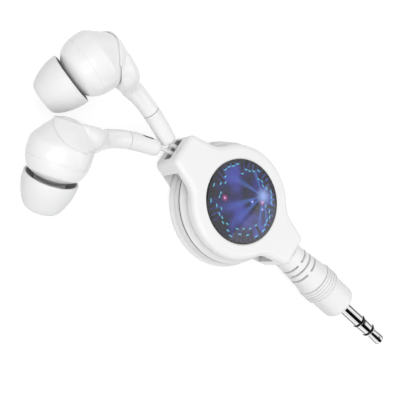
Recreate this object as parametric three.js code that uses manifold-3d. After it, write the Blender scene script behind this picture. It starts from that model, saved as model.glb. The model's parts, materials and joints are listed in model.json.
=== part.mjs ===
// Retractable in-ear earphones, cable wound in, lying on the flat rear face of their reel.
// Millimetres. Origin: centre of the rear face, on the spool's axis. +Z is the spool's axis,
// towards the domed badge. +X points at the plug, and the earbuds leave the mouth at -X.
import * as THREE from 'three';
import { mergeVertices } from 'three/addons/utils/BufferGeometryUtils.js';
import Module from 'manifold-3d';

const wasm = await Module();
wasm.setup();

// ---------------------------------------------------------------- driving dimensions

const CLEAR = 0.3;              // running gap between neighbours
const SNUG = 0.15;              // gap between pieces that sit in each other
const RUNNING = 0.08;           // spool bore on its spindle

// Reel housing: a lemon shape, a disc with a neck at each end.
const REEL_THICKNESS = 9.0;
const COVER_R = 12.4;           // the disc's outline
const NECK_END_X = 18.06;       // flat end of each neck
const NECK_END_HALF = 3.79;     // half width there
const NECK_TAPER = 15;          // degrees, how a neck widens towards the disc
const FILLET_R = 6.0;           // hollow curve from neck to disc
const RIM = 1.3;                // rounding of the front and rear edges
const NECK_CORNER_R = 1.45;     // rounding of a neck's two corners, a little over RIM
const WALL = 1.0;
const FLOOR = 1.0;              // rear cover's floor
const FRONT_WALL = 1.3;
const WINDOW_END_X = 15.3;      // the side windows run this far towards each neck
const WINDOW_TOP_Z = 6.9;       // lower edge of the front cover's skirt
const PORT_HALF = 2.6;          // the cable port in each neck: half width
const PORT_HEIGHT = 2.4;
const AXIS_Z = 4.5;             // height of the leads and of the plug's axis

// Badge
const BADGE_R = 9.15;
const BADGE_RECESS = 0.4;
const PRINT_THICKNESS = 0.15;
const DOME_RISE = 0.75;

// Spindle and screw
const SPINDLE_R = 1.6;
const SPINDLE_TOP = 6.2;
const SPINDLE_SOCKET = 0.6;     // depth of its socket in the rear cover
const SCREW_R = 0.8;
const SCREW_HEAD_R = 1.8;
const SCREW_HEAD = 0.9;

// Spool
const SPOOL_R = 13.75;          // rear flange
const LID_R = 13.2;             // front flange
const FLANGE = 0.8;
const LID_THICKNESS = 1.0;
const HUB_R = 5.6;
const HUB_WALL = 0.7;
const GROOVE = 2.1;             // room for the cable between the flanges
const TRACK_IN = 6.8;           // ball track in the front flange: inner radius
const TRACK_OUT = 10.2;
const TRACK_WALL = 0.6;
const TRACK_DEPTH = 0.7;
const CATCH_R = 8.5;            // middle radius of the catches between the two lanes
const CATCH_WIDTH = 0.6;
const CATCHES = 3;
const CATCH_ARC = 24;           // degrees
const BALL_R = 0.6;
const BALL_LANE = 7.5;          // radius of the free lane's middle
const BALL_ANGLE = 100;         // degrees from +X, where the cover's guide slot holds the ball
const SPRING_THICKNESS = 0.18;
const SPRING_PITCH = 0.6;

// Cable: two cores side by side, wound in layers, two halves paid out at opposite necks
const CORE_D = 0.9;
const PACK_R = 12.0;            // inner layers
const TURN_GAP = 0.42;          // between the outer turns
const OUTER_TURNS = 2;
const STEP_ACROSS = 0.125;      // share of a turn in which the core steps to its next place
const LEAD_Y = 0.85;            // the two ear leads pass the mouth side by side
const SWING_ROOM = 0.35;        // between a lead's end and the cable in its stem

// Plug, along +X
const RELIEF_START = NECK_END_X + CLEAR;
const RELIEF_REAR_R = 3.35;
const RELIEF_FRONT_R = 4.2;
const RELIEF_END = 28.2;
const SLOT_ROWS = [21.1, 22.7, 24.3];
const SLOT_WIDTH = 0.5;
const SLOT_DEPTH = 1.1;
const SLOT_BRIDGE = 26;         // degrees left between a row's two slots
const VIEW_ROLL = 25;           // degrees, where the first row's bridge faces
const GRIP_END = 39.1;
const RING_BAND_END = 31.6;
const RING_BAND_R = 4.45;
const RING_GROOVES = 4;
const RING_PITCH = 0.8;
const GRIP_R = 4.1;
const PLUG_START = 39.7;        // where bare metal starts
const PLUG_R = 1.75;
const SLEEVE_LENGTH = 5.0;
const INSULATOR = 0.6;
const RING_LENGTH = 3.0;
const TIP_LENGTH = 4.8;
const TIP_NECK_R = 1.1;
const TIP_BULB_R = 1.38;
const LEAD_PORT_R = 0.8;        // bore for the cable in the relief
const LEAD_INTO_RELIEF = 20.2;  // the plug's lead shows as far as this inside the relief

// Earbud, in its own frame: origin where the lead enters the stem, +X' along the stem towards
// the body, +Y' on the ear's side, +Z' up.
const EAR_CENTRE = [23.9, 1.48, 4.9];
const NOZZLE_YAW = 80.6;
const NOZZLE_PITCH = -31;
const BODY_YAW = 76;
const BODY_PITCH = -18;
const BODY_R = 6.4;
const BODY_FRONT = 4.7;
const BODY_REAR = 4.6;
const BODY_WALL = 0.9;
const REAR_HOLE_R = 3.2;
const NOZZLE_R = 2.4;
const NOZZLE_BORE_R = 1.6;
const NOZZLE_END = 10.6;
const MESH_THICKNESS = 0.3;
const DRIVER_R = 4.6;
const TIP_BASE_R = 5.45;
const TIP_FRONT_R = 3.5;
const TIP_BASE = 5.6;
const TIP_FRONT = 12.5;
const TIP_SKIRT = 0.7;
const TIP_SLEEVE_WALL = 0.6;
const STEM_BORE_R = 0.7;
const SEAM_AT = 7.6;            // length of the stem sleeve
const PETAL = 0.6;              // thickness of the petal on the body's back
const PETAL_HALF_LENGTH = 4.9;
const PETAL_HALF_WIDTH = 6.1;
const PETAL_FRONT = -1.4;       // how far forward its edge comes on the body
const SEAM_GAP = 0.15;

// Where the two earbuds lie: the lead's end and the way the stem points, in degrees from +X.
const EARBUDS = {
  left: { leadEnd: [-19.7, 0.6], angle: 177.6 },
  right: { leadEnd: [-21.2, -2.3], angle: 218.8 },
};

// ---------------------------------------------------------------- looks

const finish = (color, roughness, metalness = 0) =>
  new THREE.MeshStandardMaterial({ color, roughness, metalness });
const GLOSS_WHITE = finish(0xf0f0ef, 0.25);
const SOFT_WHITE = finish(0xeeeeec, 0.5);
const SILICONE = finish(0xe9e9e7, 0.55);
const CABLE_WHITE = finish(0xe6e6e4, 0.5);
const PRINT = finish(0x1b1d4a, 0.5);
const LENS = finish(0xcfd4e8, 0.05);
const CHROME = finish(0xd0d0d2, 0.1, 1);
const STEEL = finish(0xb8b8ba, 0.3, 1);
const BLACK = finish(0x151515, 0.4);
const DARK_MAGNET = finish(0x4a4a4c, 0.4, 1);
const FILM = finish(0xb98a4a, 0.4);

// ---------------------------------------------------------------- solids

const degrees = THREE.MathUtils.degToRad;

// A closed geometry as a manifold solid.
function solid(geometry) {
  const bare = geometry.index ? geometry.toNonIndexed() : geometry.clone();
  bare.deleteAttribute('normal');
  bare.deleteAttribute('uv');
  const merged = mergeVertices(bare, 1e-4);
  return new wasm.Manifold(new wasm.Mesh({
    numProp: 3,
    vertProperties: merged.attributes.position.array,
    triVerts: new Uint32Array(merged.index.array),
  }));
}

// The solid's surface as a geometry again.
function surface(made) {
  const { vertProperties, triVerts } = made.getMesh();
  const geometry = new THREE.BufferGeometry();
  geometry.setAttribute('position', new THREE.BufferAttribute(new Float32Array(vertProperties), 3));
  geometry.setIndex(new THREE.BufferAttribute(new Uint32Array(triVerts), 1));
  const flat = geometry.toNonIndexed();
  flat.computeVertexNormals();
  return flat;
}

const cut = (from, ...tools) => surface(tools.reduce((left, tool) => left.subtract(solid(tool)), solid(from)));
const join = (first, ...others) => surface(others.reduce((sum, other) => sum.add(solid(other)), solid(first)));
const common = (a, b) => surface(solid(a).intersect(solid(b)));

// A turned piece about +Z from [radius, height] points that start and end on the axis,
// or close on themselves when they don't reach it.
function turned(profile, segments = 32) {
  const points = profile.map(([r, z]) => new THREE.Vector2(r, z));
  const onAxis = profile[0][0] === 0 && profile.at(-1)[0] === 0;
  if (!onAxis) points.push(points[0].clone());
  const g = new THREE.LatheGeometry(points, segments);
  g.rotateX(Math.PI / 2);
  return g;
}

// A disc or ring between two heights.
function ring(inner, outer, low, high, segments = 32) {
  const profile = inner > 0
    ? [[inner, low], [outer, low], [outer, high], [inner, high]]
    : [[0, low], [outer, low], [outer, high], [0, high]];
  return turned(profile, segments);
}

function box(x0, x1, y0, y1, z0, z1) {
  const g = new THREE.BoxGeometry(x1 - x0, y1 - y0, z1 - z0);
  g.translate((x0 + x1) / 2, (y0 + y1) / 2, (z0 + z1) / 2);
  return g;
}

// Turns a piece made about +Z to lie along +X at the plug's axis height.
const alongX = (g) => g.rotateY(Math.PI / 2).translate(0, 0, AXIS_Z);

// A round tube along a smooth path through the points.
function tube(points, radius, steps, sides = 8) {
  const path = new THREE.CatmullRomCurve3(points.map((p) => new THREE.Vector3(...p)));
  const section = new THREE.Shape();
  for (let i = 0; i < sides; i += 1) {
    const a = (i / sides) * 2 * Math.PI;
    const [x, y] = [radius * Math.cos(a), radius * Math.sin(a)];
    if (i === 0) section.moveTo(x, y);
    else section.lineTo(x, y);
  }
  section.closePath();
  return new THREE.ExtrudeGeometry(section, { extrudePath: path, steps });
}

// A closed skin over rings of points, with flat ends.
function loft(rings) {
  const sides = rings[0].length;
  const positions = rings.flat().flatMap((p) => [p.x, p.y, p.z]);
  const index = [];
  for (let i = 0; i + 1 < rings.length; i += 1) {
    for (let j = 0; j < sides; j += 1) {
      const [a, b] = [i * sides + j, i * sides + ((j + 1) % sides)];
      const [c, d] = [a + sides, b + sides];
      index.push(a, b, d, a, d, c);
    }
  }
  const last = (rings.length - 1) * sides;
  for (let j = 1; j + 1 < sides; j += 1) {
    index.push(0, j + 1, j);
    index.push(last, last + j, last + j + 1);
  }
  const g = new THREE.BufferGeometry();
  g.setAttribute('position', new THREE.Float32BufferAttribute(positions, 3));
  g.setIndex(index);
  return g;
}

function mesh(name, geometry, material) {
  const m = new THREE.Mesh(geometry, material);
  m.name = name;
  return m;
}

// ---------------------------------------------------------------- reel housing

// The lemon outline, inset by a wall if asked: disc arcs joined to two tapering necks.
function lemon(inset = 0) {
  const R = COVER_R - inset;
  const fillet = FILLET_R + inset;
  const taper = degrees(NECK_TAPER);
  const start = new THREE.Vector2(NECK_END_X - inset, NECK_END_HALF - inset);
  const along = new THREE.Vector2(-Math.cos(taper), Math.sin(taper));
  const out = new THREE.Vector2(Math.sin(taper), Math.cos(taper));
  // The fillet's centre lies off the neck line by its radius, and R + fillet from the disc's centre.
  const base = start.clone().addScaledVector(out, fillet);
  const b = base.dot(along);
  const c = base.lengthSq() - (R + fillet) ** 2;
  const run = -b - Math.sqrt(b * b - c);
  const centre = base.clone().addScaledVector(along, run);
  const touch = Math.atan2(centre.y, centre.x);
  const fromNeck = Math.atan2(-out.y, -out.x);
  const corners = [[1, 1], [-1, 1], [-1, -1], [1, -1]];
  const corner = NECK_CORNER_R - inset;
  const round = new THREE.Vector2(start.x - corner,
    start.y - corner * Math.tan((Math.PI / 2 - taper) / 2));
  const shape = new THREE.Shape();
  shape.moveTo(start.x, round.y);
  for (const [sx, sy] of corners) {
    const angle = (a) => Math.atan2(sy * Math.sin(a), sx * Math.cos(a));
    const filletEnds = [angle(fromNeck), angle(touch + Math.PI)];
    const inwards = sx * sy > 0;
    const [cx, cy] = [sx * centre.x, sy * centre.y];
    const [nx, ny] = [sx * round.x, sy * round.y];
    const cornerEnds = [angle(0), angle(Math.PI / 2 - taper)];
    if (inwards) {
      shape.absarc(nx, ny, corner, cornerEnds[0], cornerEnds[1], false);
      shape.absarc(cx, cy, fillet, filletEnds[0], filletEnds[1], true);
      shape.absarc(0, 0, R, angle(touch), sy * Math.PI / 2, false);
    } else {
      shape.absarc(0, 0, R, sy * Math.PI / 2, angle(touch), false);
      shape.absarc(cx, cy, fillet, filletEnds[1], filletEnds[0], true);
      shape.absarc(nx, ny, corner, cornerEnds[1], cornerEnds[0], false);
    }
  }
  return shape;
}

// The whole housing as one block with rounded front and rear edges.
function housingBlock() {
  const g = new THREE.ExtrudeGeometry(lemon(), {
    depth: REEL_THICKNESS - 2 * RIM,
    bevelThickness: RIM,
    bevelSize: RIM,
    bevelOffset: -RIM,
    bevelSegments: 2,
    curveSegments: 6,
  });
  return g.translate(0, 0, RIM);
}

// What is hollow between floor and front wall, open at both sides between the necks.
function housingHollow() {
  const inside = new THREE.ExtrudeGeometry(lemon(WALL), {
    depth: REEL_THICKNESS - FLOOR - FRONT_WALL,
    bevelEnabled: false,
    curveSegments: 6,
  }).translate(0, 0, FLOOR);
  const reach = COVER_R + 2 * SPOOL_R;
  const windows = box(-WINDOW_END_X, WINDOW_END_X, -reach, reach, FLOOR, WINDOW_TOP_Z);
  const port = box(-2 * NECK_END_X, 2 * NECK_END_X, -PORT_HALF, PORT_HALF,
    AXIS_Z - PORT_HEIGHT / 2, AXIS_Z + PORT_HEIGHT / 2);
  return join(inside, windows, port);
}

const lidLow = FLOOR + CLEAR + FLANGE + GROOVE;
const lidTop = lidLow + LID_THICKNESS;
const trackTop = lidTop + TRACK_DEPTH;
const ceiling = REEL_THICKNESS - FRONT_WALL;

function rearCover() {
  const half = box(-2 * NECK_END_X, 2 * NECK_END_X, -2 * COVER_R, 2 * COVER_R, -1, AXIS_Z);
  const shell = common(cut(housingBlock(), housingHollow()), half);
  const socketWall = ring(0, SPINDLE_R + SNUG + WALL, FLOOR / 2, FLOOR + SNUG, 24);
  const socket = ring(0, SPINDLE_R + SNUG, FLOOR - SPINDLE_SOCKET, 2 * FLOOR, 24);
  return cut(join(shell, socketWall), socket);
}

// The guide under the front wall: a block with a radial slot that the lock ball runs in.
function ballGuide() {
  const half = BALL_R + SNUG;
  const block = box(TRACK_IN - WALL, TRACK_OUT + WALL, -half - WALL, half + WALL,
    trackTop + SNUG, ceiling + SNUG);
  const slot = box(TRACK_IN, TRACK_OUT, -half, half, 0, ceiling - SNUG);
  return cut(block, slot).rotateZ(degrees(BALL_ANGLE));
}

function frontCover() {
  const half = box(-2 * NECK_END_X, 2 * NECK_END_X, -2 * COVER_R, 2 * COVER_R,
    AXIS_Z, 2 * REEL_THICKNESS);
  const shell = common(cut(housingBlock(), housingHollow()), half);
  const rimRing = ring(COVER_R - 1.4, COVER_R - 0.5, lidTop + CLEAR, ceiling + SNUG, 30);
  const boss = ring(0, SCREW_HEAD_R + WALL, SPINDLE_TOP + CLEAR, ceiling + SNUG, 16);
  const recess = ring(0, BADGE_R + SNUG, REEL_THICKNESS - BADGE_RECESS, 2 * REEL_THICKNESS, 36);
  const headRoom = ring(0, SCREW_HEAD_R + SNUG,
    REEL_THICKNESS - BADGE_RECESS - SCREW_HEAD - SNUG, 2 * REEL_THICKNESS, 20);
  const shankRoom = ring(0, SCREW_R + SNUG, 0, 2 * REEL_THICKNESS, 16);
  return cut(join(shell, rimRing, boss, ballGuide()), recess, headRoom, shankRoom);
}

function badgePrint() {
  const low = REEL_THICKNESS - BADGE_RECESS;
  return ring(0, BADGE_R, low, low + PRINT_THICKNESS, 36);
}

// The clear lens: flat below, domed above, sitting on the print.
function badgeLens() {
  const low = REEL_THICKNESS - BADGE_RECESS + PRINT_THICKNESS;
  const edge = REEL_THICKNESS + 0.1;
  const profile = [[0, low], [BADGE_R, low], [BADGE_R, edge]];
  const steps = 3;
  for (let i = steps - 1; i >= 0; i -= 1) {
    const r = (BADGE_R * i) / steps;
    profile.push([r, edge + (DOME_RISE - 0.1) * (1 - (r / BADGE_R) ** 2)]);
  }
  return turned(profile, 36);
}

function spindle() {
  const foot = FLOOR - SPINDLE_SOCKET;
  const post = ring(0, SPINDLE_R, foot, SPINDLE_TOP, 16);
  const bore = ring(0, SCREW_R + SNUG, FLOOR + 1, 2 * SPINDLE_TOP, 16);
  const slit = box(-2 * SPINDLE_R, 0, -SPRING_THICKNESS, SPRING_THICKNESS,
    lidLow - GROOVE, lidLow);
  return cut(post, bore, slit);
}

function coverScrew() {
  const top = REEL_THICKNESS - BADGE_RECESS - SNUG;
  const underHead = top - SCREW_HEAD + SNUG;
  const body = turned([[0, FLOOR + 1.3], [SCREW_R, FLOOR + 1.6], [SCREW_R, underHead],
    [SCREW_HEAD_R, underHead], [SCREW_HEAD_R, top - 0.3], [SCREW_HEAD_R - 0.3, top], [0, top]], 16);
  const bars = [0, 90].map((a) => box(-1, 1, -0.2, 0.2, top - 0.5, top + 1).rotateZ(degrees(a)));
  return cut(body, ...bars);
}

// ---------------------------------------------------------------- spool

function spoolBody() {
  const low = FLOOR + CLEAR;
  const web = low + FLANGE;
  const profile = [[SPINDLE_R + RUNNING, low], [SPOOL_R - 0.15, low], [SPOOL_R, low + 0.2],
    [SPOOL_R, web - 0.2], [SPOOL_R - 0.15, web], [HUB_R, web], [HUB_R, lidLow - SNUG / 3],
    [HUB_R - HUB_WALL, lidLow - SNUG / 3], [HUB_R - HUB_WALL, web], [SPINDLE_R + RUNNING, web]];
  return cut(turned(profile, 40), ring(0, SPINDLE_R + SNUG + 1.2, 0, low + SNUG, 16));
}

// The front flange closes the hub and carries the two-lane ball track on its front.
function spoolLid() {
  const profile = [[SPINDLE_R + RUNNING, lidLow], [LID_R - 0.15, lidLow], [LID_R, lidLow + 0.15],
    [LID_R, lidTop - 0.15], [LID_R - 0.15, lidTop], [TRACK_OUT + TRACK_WALL, lidTop],
    [TRACK_OUT + TRACK_WALL, trackTop], [TRACK_OUT, trackTop], [TRACK_OUT, lidTop],
    [TRACK_IN, lidTop], [TRACK_IN, trackTop], [TRACK_IN - TRACK_WALL, trackTop],
    [TRACK_IN - TRACK_WALL, lidTop], [SPINDLE_R + RUNNING, lidTop]];
  const half = degrees(CATCH_ARC) / 2;
  const catches = [];
  for (let i = 0; i < CATCHES; i += 1) {
    const middle = degrees(BALL_ANGLE + 70 + i * 75);
    const block = new THREE.Shape();
    block.absarc(0, 0, CATCH_R + CATCH_WIDTH / 2, middle - half, middle + half, false);
    block.absarc(0, 0, CATCH_R - CATCH_WIDTH / 2, middle + half, middle - half, true);
    catches.push(new THREE.ExtrudeGeometry(block, {
      depth: TRACK_DEPTH + LID_THICKNESS / 2, bevelEnabled: false, curveSegments: 3,
    }).translate(0, 0, lidTop - LID_THICKNESS / 2));
  }
  return join(turned(profile, 36), ...catches);
}

// Inner layers of the cable, packed tight.
function cablePack() {
  const low = lidLow - GROOVE + SNUG;
  return ring(HUB_R + SNUG, PACK_R, low, lidLow - SNUG, 36);
}

// The outer turns, one unbroken core laid side by side over the pack.
function outerTurns() {
  const radius = PACK_R + SNUG + CORE_D / 2;
  const pitch = CORE_D + TURN_GAP;
  const middle = lidLow - GROOVE / 2;
  const stepsPerTurn = 24;
  const sides = 6;
  const steps = (OUTER_TURNS - STEP_ACROSS) * stepsPerTurn;
  const centres = [];
  for (let i = 0; i <= steps; i += 1) {
    const turn = i / stepsPerTurn;
    // The step across lies inside the plug's neck, so the first turn starts just past it.
    const a = (turn + STEP_ACROSS / 2) * 2 * Math.PI;
    const whole = Math.min(Math.floor(turn), OUTER_TURNS - 1);
    const stepped = THREE.MathUtils.smoothstep(turn - whole, 1 - STEP_ACROSS, 1);
    const across = Math.min(whole + stepped, OUTER_TURNS - 1);
    const z = middle + (across - (OUTER_TURNS - 1) / 2) * pitch;
    centres.push(new THREE.Vector3(radius * Math.cos(a), radius * Math.sin(a), z));
  }
  const rings = centres.map((centre) => {
    const out = new THREE.Vector3(centre.x, centre.y, 0).normalize();
    const points = [];
    for (let j = 0; j < sides; j += 1) {
      const b = (j / sides) * 2 * Math.PI;
      const r = CORE_D / 2;
      points.push(centre.clone()
        .addScaledVector(out, r * Math.cos(b))
        .add(new THREE.Vector3(0, 0, r * Math.sin(b))));
    }
    return points;
  });
  let least = Infinity;
  for (let i = 0; i < rings.length; i += 1) {
    for (let k = i + stepsPerTurn / 2; k < rings.length; k += 1) {
      for (const p of rings[i]) for (const q of rings[k]) least = Math.min(least, p.distanceTo(q));
    }
  }
  console.log(`outer turns: least gap to themselves ${least.toFixed(3)} mm`);
  return loft(rings.map((r) => r.slice().reverse()));
}

// A flat steel strip wound from the spindle out to the hub's wall.
function powerSpring() {
  const inner = SPINDLE_R + 0.5;
  const outer = HUB_R - HUB_WALL - 0.25;
  const turns = (outer - inner) / SPRING_PITCH;
  const stepsPerTurn = 12;
  const steps = Math.round(turns * stepsPerTurn);
  const low = lidLow - GROOVE + SNUG;
  const high = lidLow - SNUG;
  const side = (r, a, z) => new THREE.Vector3(r * Math.cos(a), r * Math.sin(a), z);
  const rings = [];
  for (let i = 0; i <= steps; i += 1) {
    const a = Math.PI + (i / stepsPerTurn) * 2 * Math.PI;
    const r = inner + (i / stepsPerTurn) * SPRING_PITCH;
    const [near, far] = [r, r + SPRING_THICKNESS];
    rings.push([side(near, a, low), side(near, a, high), side(far, a, high), side(far, a, low)]);
  }
  // The inner end is bent in to sit in the spindle's slit.
  const hook = [SPINDLE_R - 0.5, SPINDLE_R + 0.2].map((r) => {
    const t = SPRING_THICKNESS / 2;
    const at = (y, z) => new THREE.Vector3(-r, y, z);
    return [at(t, low), at(t, high), at(-t, high), at(-t, low)];
  });
  return loft([...hook, ...rings]);
}

function lockBall() {
  const a = degrees(BALL_ANGLE);
  const g = new THREE.SphereGeometry(BALL_R, 10, 6);
  return g.translate(BALL_LANE * Math.cos(a), BALL_LANE * Math.sin(a), lidTop + 0.05 + BALL_R);
}

// ---------------------------------------------------------------- cable runs inside the necks

const grooveMiddle = lidLow - GROOVE / 2;
const RUN_END_X = WINDOW_END_X + 0.6;

// The point where a straight run from the port touches the outer turns, on the +Y side at -X.
function touchPoint(radius) {
  const a = Math.acos(radius / RUN_END_X);
  return [-radius * Math.cos(a), radius * Math.sin(a)];
}

// One core from the spool to the port: across the groove, then up to the port's height.
function cableRun(endY, z, sign) {
  const radius = PACK_R + CORE_D + 2 * SNUG + CORE_D / 2;
  const [tx, ty] = touchPoint(radius);
  const clearOfLid = [tx + (-RUN_END_X - tx) * 0.5, ty + (endY - ty) * 0.5];
  const points = [
    [tx, ty, z],
    [clearOfLid[0], clearOfLid[1], z],
    [-RUN_END_X + 0.9, endY + 0.9, (z + AXIS_Z) / 2 + 0.2],
    [-RUN_END_X, endY, AXIS_Z],
    [-RUN_END_X - 0.8, endY, AXIS_Z],
  ];
  return tube(points.map(([x, y, h]) => [sign * x, sign * y, h]), CORE_D / 2, 14, 6);
}

// A short lead from the mouth to the place where the stem takes it over, arriving along the stem.
function earLead(side) {
  const { leadEnd: [endX, endY], angle } = EARBUDS[side];
  const startX = -(RUN_END_X + 0.8 + CLEAR);
  const y = side === 'left' ? LEAD_Y : -LEAD_Y;
  const [wayX, wayY] = [Math.cos(degrees(angle)), Math.sin(degrees(angle))];
  const points = [[startX, y], [startX - 0.9, y], [endX - 0.8 * wayX, endY - 0.8 * wayY],
    [endX - SWING_ROOM * wayX, endY - SWING_ROOM * wayY]];
  return tube(points.map(([px, py]) => [px, py, AXIS_Z]), CORE_D / 2, 8, 8);
}

// ---------------------------------------------------------------- plug

function strainRelief() {
  const rearRound = 0.4;
  const body = turned([[LEAD_PORT_R, RELIEF_START], [RELIEF_REAR_R - rearRound, RELIEF_START],
    [RELIEF_REAR_R, RELIEF_START + rearRound], [RELIEF_REAR_R + 0.2, 22], [RELIEF_FRONT_R - 0.35, 25.5],
    [RELIEF_FRONT_R, RELIEF_END], [LEAD_PORT_R, RELIEF_END]], 22);
  const slots = [];
  SLOT_ROWS.forEach((x, row) => {
    const turnBy = row % 2 === 0 ? 0 : 90;
    for (const half of [0, 180]) {
      const from = degrees(VIEW_ROLL + turnBy + half + SLOT_BRIDGE / 2);
      const to = from + degrees(180 - SLOT_BRIDGE);
      const sector = new THREE.Shape();
      sector.absarc(0, 0, 2 * RELIEF_FRONT_R, from, to, false);
      sector.absarc(0, 0, RELIEF_REAR_R - SLOT_DEPTH, to, from, true);
      slots.push(new THREE.ExtrudeGeometry(sector, {
        depth: SLOT_WIDTH, bevelEnabled: false, curveSegments: 6,
      }).translate(0, 0, x - SLOT_WIDTH / 2));
    }
  });
  return alongX(cut(body, ...slots));
}

// The barrel: a band of fine grooves, then a plain grip with a rounded front.
function plugGrip() {
  const start = RELIEF_END + SNUG;
  const profile = [[LEAD_PORT_R, start], [RELIEF_FRONT_R, start]];
  const groove = 0.15;
  for (let i = 0; i < RING_GROOVES; i += 1) {
    const x = start + 0.4 + i * RING_PITCH;
    profile.push([RING_BAND_R, x], [RING_BAND_R - groove, x + 0.15],
      [RING_BAND_R, x + 0.3]);
  }
  profile.push([RING_BAND_R, RING_BAND_END], [GRIP_R, RING_BAND_END + 0.3], [GRIP_R, GRIP_END - 1.6],
    [GRIP_R - 0.35, GRIP_END - 0.5], [GRIP_R - 1.1, GRIP_END], [PLUG_R + SNUG, GRIP_END],
    [PLUG_R + SNUG, GRIP_END - 6], [LEAD_PORT_R, GRIP_END - 6]);
  return alongX(turned(profile, 22));
}

const sleeveEnd = PLUG_START + SLEEVE_LENGTH;
const ringStart = sleeveEnd + INSULATOR;
const ringEnd = ringStart + RING_LENGTH;
const tipStart = ringEnd + INSULATOR;
const ROD_R = 0.5;              // tip contact's rod
const TUBE_R = 0.95;            // ring contact's tube

function sleeveContact() {
  const tail = GRIP_END - 5.8;
  const profile = [[TUBE_R + 2 * SNUG, tail], [PLUG_R, tail], [PLUG_R, GRIP_END],
    [PLUG_R + 0.45, GRIP_END + SNUG], [PLUG_R + 0.45, PLUG_START - 0.1], [PLUG_R, PLUG_START],
    [PLUG_R, sleeveEnd], [TUBE_R + 2 * SNUG, sleeveEnd]];
  return alongX(turned(profile, 18));
}

// An insulator: a ring that shows, with a thin tube that runs back inside the contact behind it.
function insulator(at, boreR, tubeR, back) {
  return alongX(turned([[boreR, at - back], [tubeR, at - back], [tubeR, at], [PLUG_R - 0.03, at],
    [PLUG_R - 0.03, at + INSULATOR], [boreR, at + INSULATOR]], 18));
}

function ringContact() {
  return alongX(turned([[ROD_R + 2 * SNUG, ringStart], [PLUG_R, ringStart], [PLUG_R, ringEnd],
    [ROD_R + 2 * SNUG, ringEnd]], 18));
}

function tipContact() {
  const bulb = tipStart + 2.6;
  const end = tipStart + TIP_LENGTH;
  return alongX(turned([[0, GRIP_END - 5.6], [ROD_R - SNUG, GRIP_END - 5.6], [ROD_R - SNUG, tipStart],
    [PLUG_R, tipStart], [PLUG_R - 0.1, tipStart + 0.35], [TIP_NECK_R, tipStart + 1.1],
    [TIP_NECK_R + 0.08, tipStart + 1.4], [TIP_BULB_R, bulb], [TIP_BULB_R + 0.07, bulb + 0.7],
    [TIP_BULB_R - 0.2, end - 0.7], [0.55, end - 0.12], [0, end]], 18));
}

function plugPieces() {
  const leadStart = WINDOW_END_X + 0.6 + 0.8 + CLEAR;
  return [
    mesh('plug_lead', tube([[leadStart, 0, AXIS_Z], [RELIEF_START, 0, AXIS_Z], [LEAD_INTO_RELIEF, 0, AXIS_Z]],
      CORE_D * 0.6, 4, 8), CABLE_WHITE),
    mesh('strain_relief', strainRelief(), SOFT_WHITE),
    mesh('plug_grip', plugGrip(), SOFT_WHITE),
    mesh('plug_sleeve_contact', sleeveContact(), CHROME),
    mesh('plug_ring_contact', ringContact(), CHROME),
    mesh('plug_tip_contact', tipContact(), CHROME),
    mesh('plug_rear_insulator', insulator(sleeveEnd, TUBE_R, TUBE_R + SNUG, 3), BLACK),
    mesh('plug_front_insulator', insulator(ringEnd, ROD_R, ROD_R + SNUG, 2.5), BLACK),
  ];
}

// ---------------------------------------------------------------- earbud

// The direction at a yaw and a pitch, in the earbud's frame.
function heading(yaw, pitch) {
  const [y, p] = [degrees(yaw), degrees(pitch)];
  return new THREE.Vector3(Math.cos(y) * Math.cos(p), Math.sin(y) * Math.cos(p), Math.sin(p));
}

const centreOfBody = new THREE.Vector3(...EAR_CENTRE);
const nozzleWay = heading(NOZZLE_YAW, NOZZLE_PITCH);
const bodyWay = heading(BODY_YAW, BODY_PITCH);

// Places a piece that is turned about +Z at the body's centre, along a direction.
function aim(geometry, way) {
  const turn = new THREE.Quaternion().setFromUnitVectors(new THREE.Vector3(0, 0, 1), way);
  return geometry.applyQuaternion(turn).translate(...EAR_CENTRE);
}

const bodyProfile = (shrink) => [
  [0, -BODY_REAR + shrink], [3.6, -BODY_REAR + 0.25 + shrink],
  [5.2 - shrink * 0.5, -BODY_REAR + 1.0 + shrink * 0.7],
  [6.1 - shrink, -2.2], [BODY_R - shrink, -0.6], [BODY_R - shrink, 1.0], [6.15 - shrink, 2.5],
  [5.6 - shrink * 0.8, 3.8], [4.9 - shrink * 0.6, BODY_FRONT - shrink], [0, BODY_FRONT - shrink],
];

function bodyShell() {
  const nozzle = aim(turned([[0, 0], [NOZZLE_R + 0.8, 0], [NOZZLE_R + 0.8, BODY_FRONT],
    [NOZZLE_R, BODY_FRONT + 1.2], [NOZZLE_R, NOZZLE_END], [0, NOZZLE_END]], 16), nozzleWay);
  const bore = aim(ring(0, NOZZLE_BORE_R, BODY_FRONT - 2.5, NOZZLE_END + 1, 12), nozzleWay);
  const hollow = aim(turned(bodyProfile(BODY_WALL), 16), bodyWay);
  const rearHole = aim(ring(0, REAR_HOLE_R, -2 * BODY_REAR, 0, 16), bodyWay);
  return cut(join(aim(turned(bodyProfile(0), 24), bodyWay), nozzle), hollow, bore, rearHole);
}

// The stem's middle line, from the lead's end to the far end of the petal on the body's back,
// with the half width across and half thickness at each station.
const STEM = [
  { at: [0, 0, 0], wide: 1.5, thick: 1.5 },
  { at: [0.7, -0.15, 0.1], wide: 1.75, thick: 1.7 },
  { at: [3.6, -0.8, 0.5], wide: 1.85, thick: 1.75 },
  { at: [7.4, -1.4, 1.1], wide: 1.9, thick: 1.8 },
  { at: [11.5, -1.4, 2.2], wide: 1.95, thick: 1.7 },
  { at: [15.2, -0.9, 3.5], wide: 2.15, thick: 1.6 },
  { at: [18.0, -1.0, 4.8], wide: 2.5, thick: 1.2 },
  { at: [20.2, -1.8, 5.5], wide: 2.6, thick: 0.6 },
  { at: [22.4, -2.4, 6.1], wide: 2.3, thick: 0.3 },
];

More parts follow.
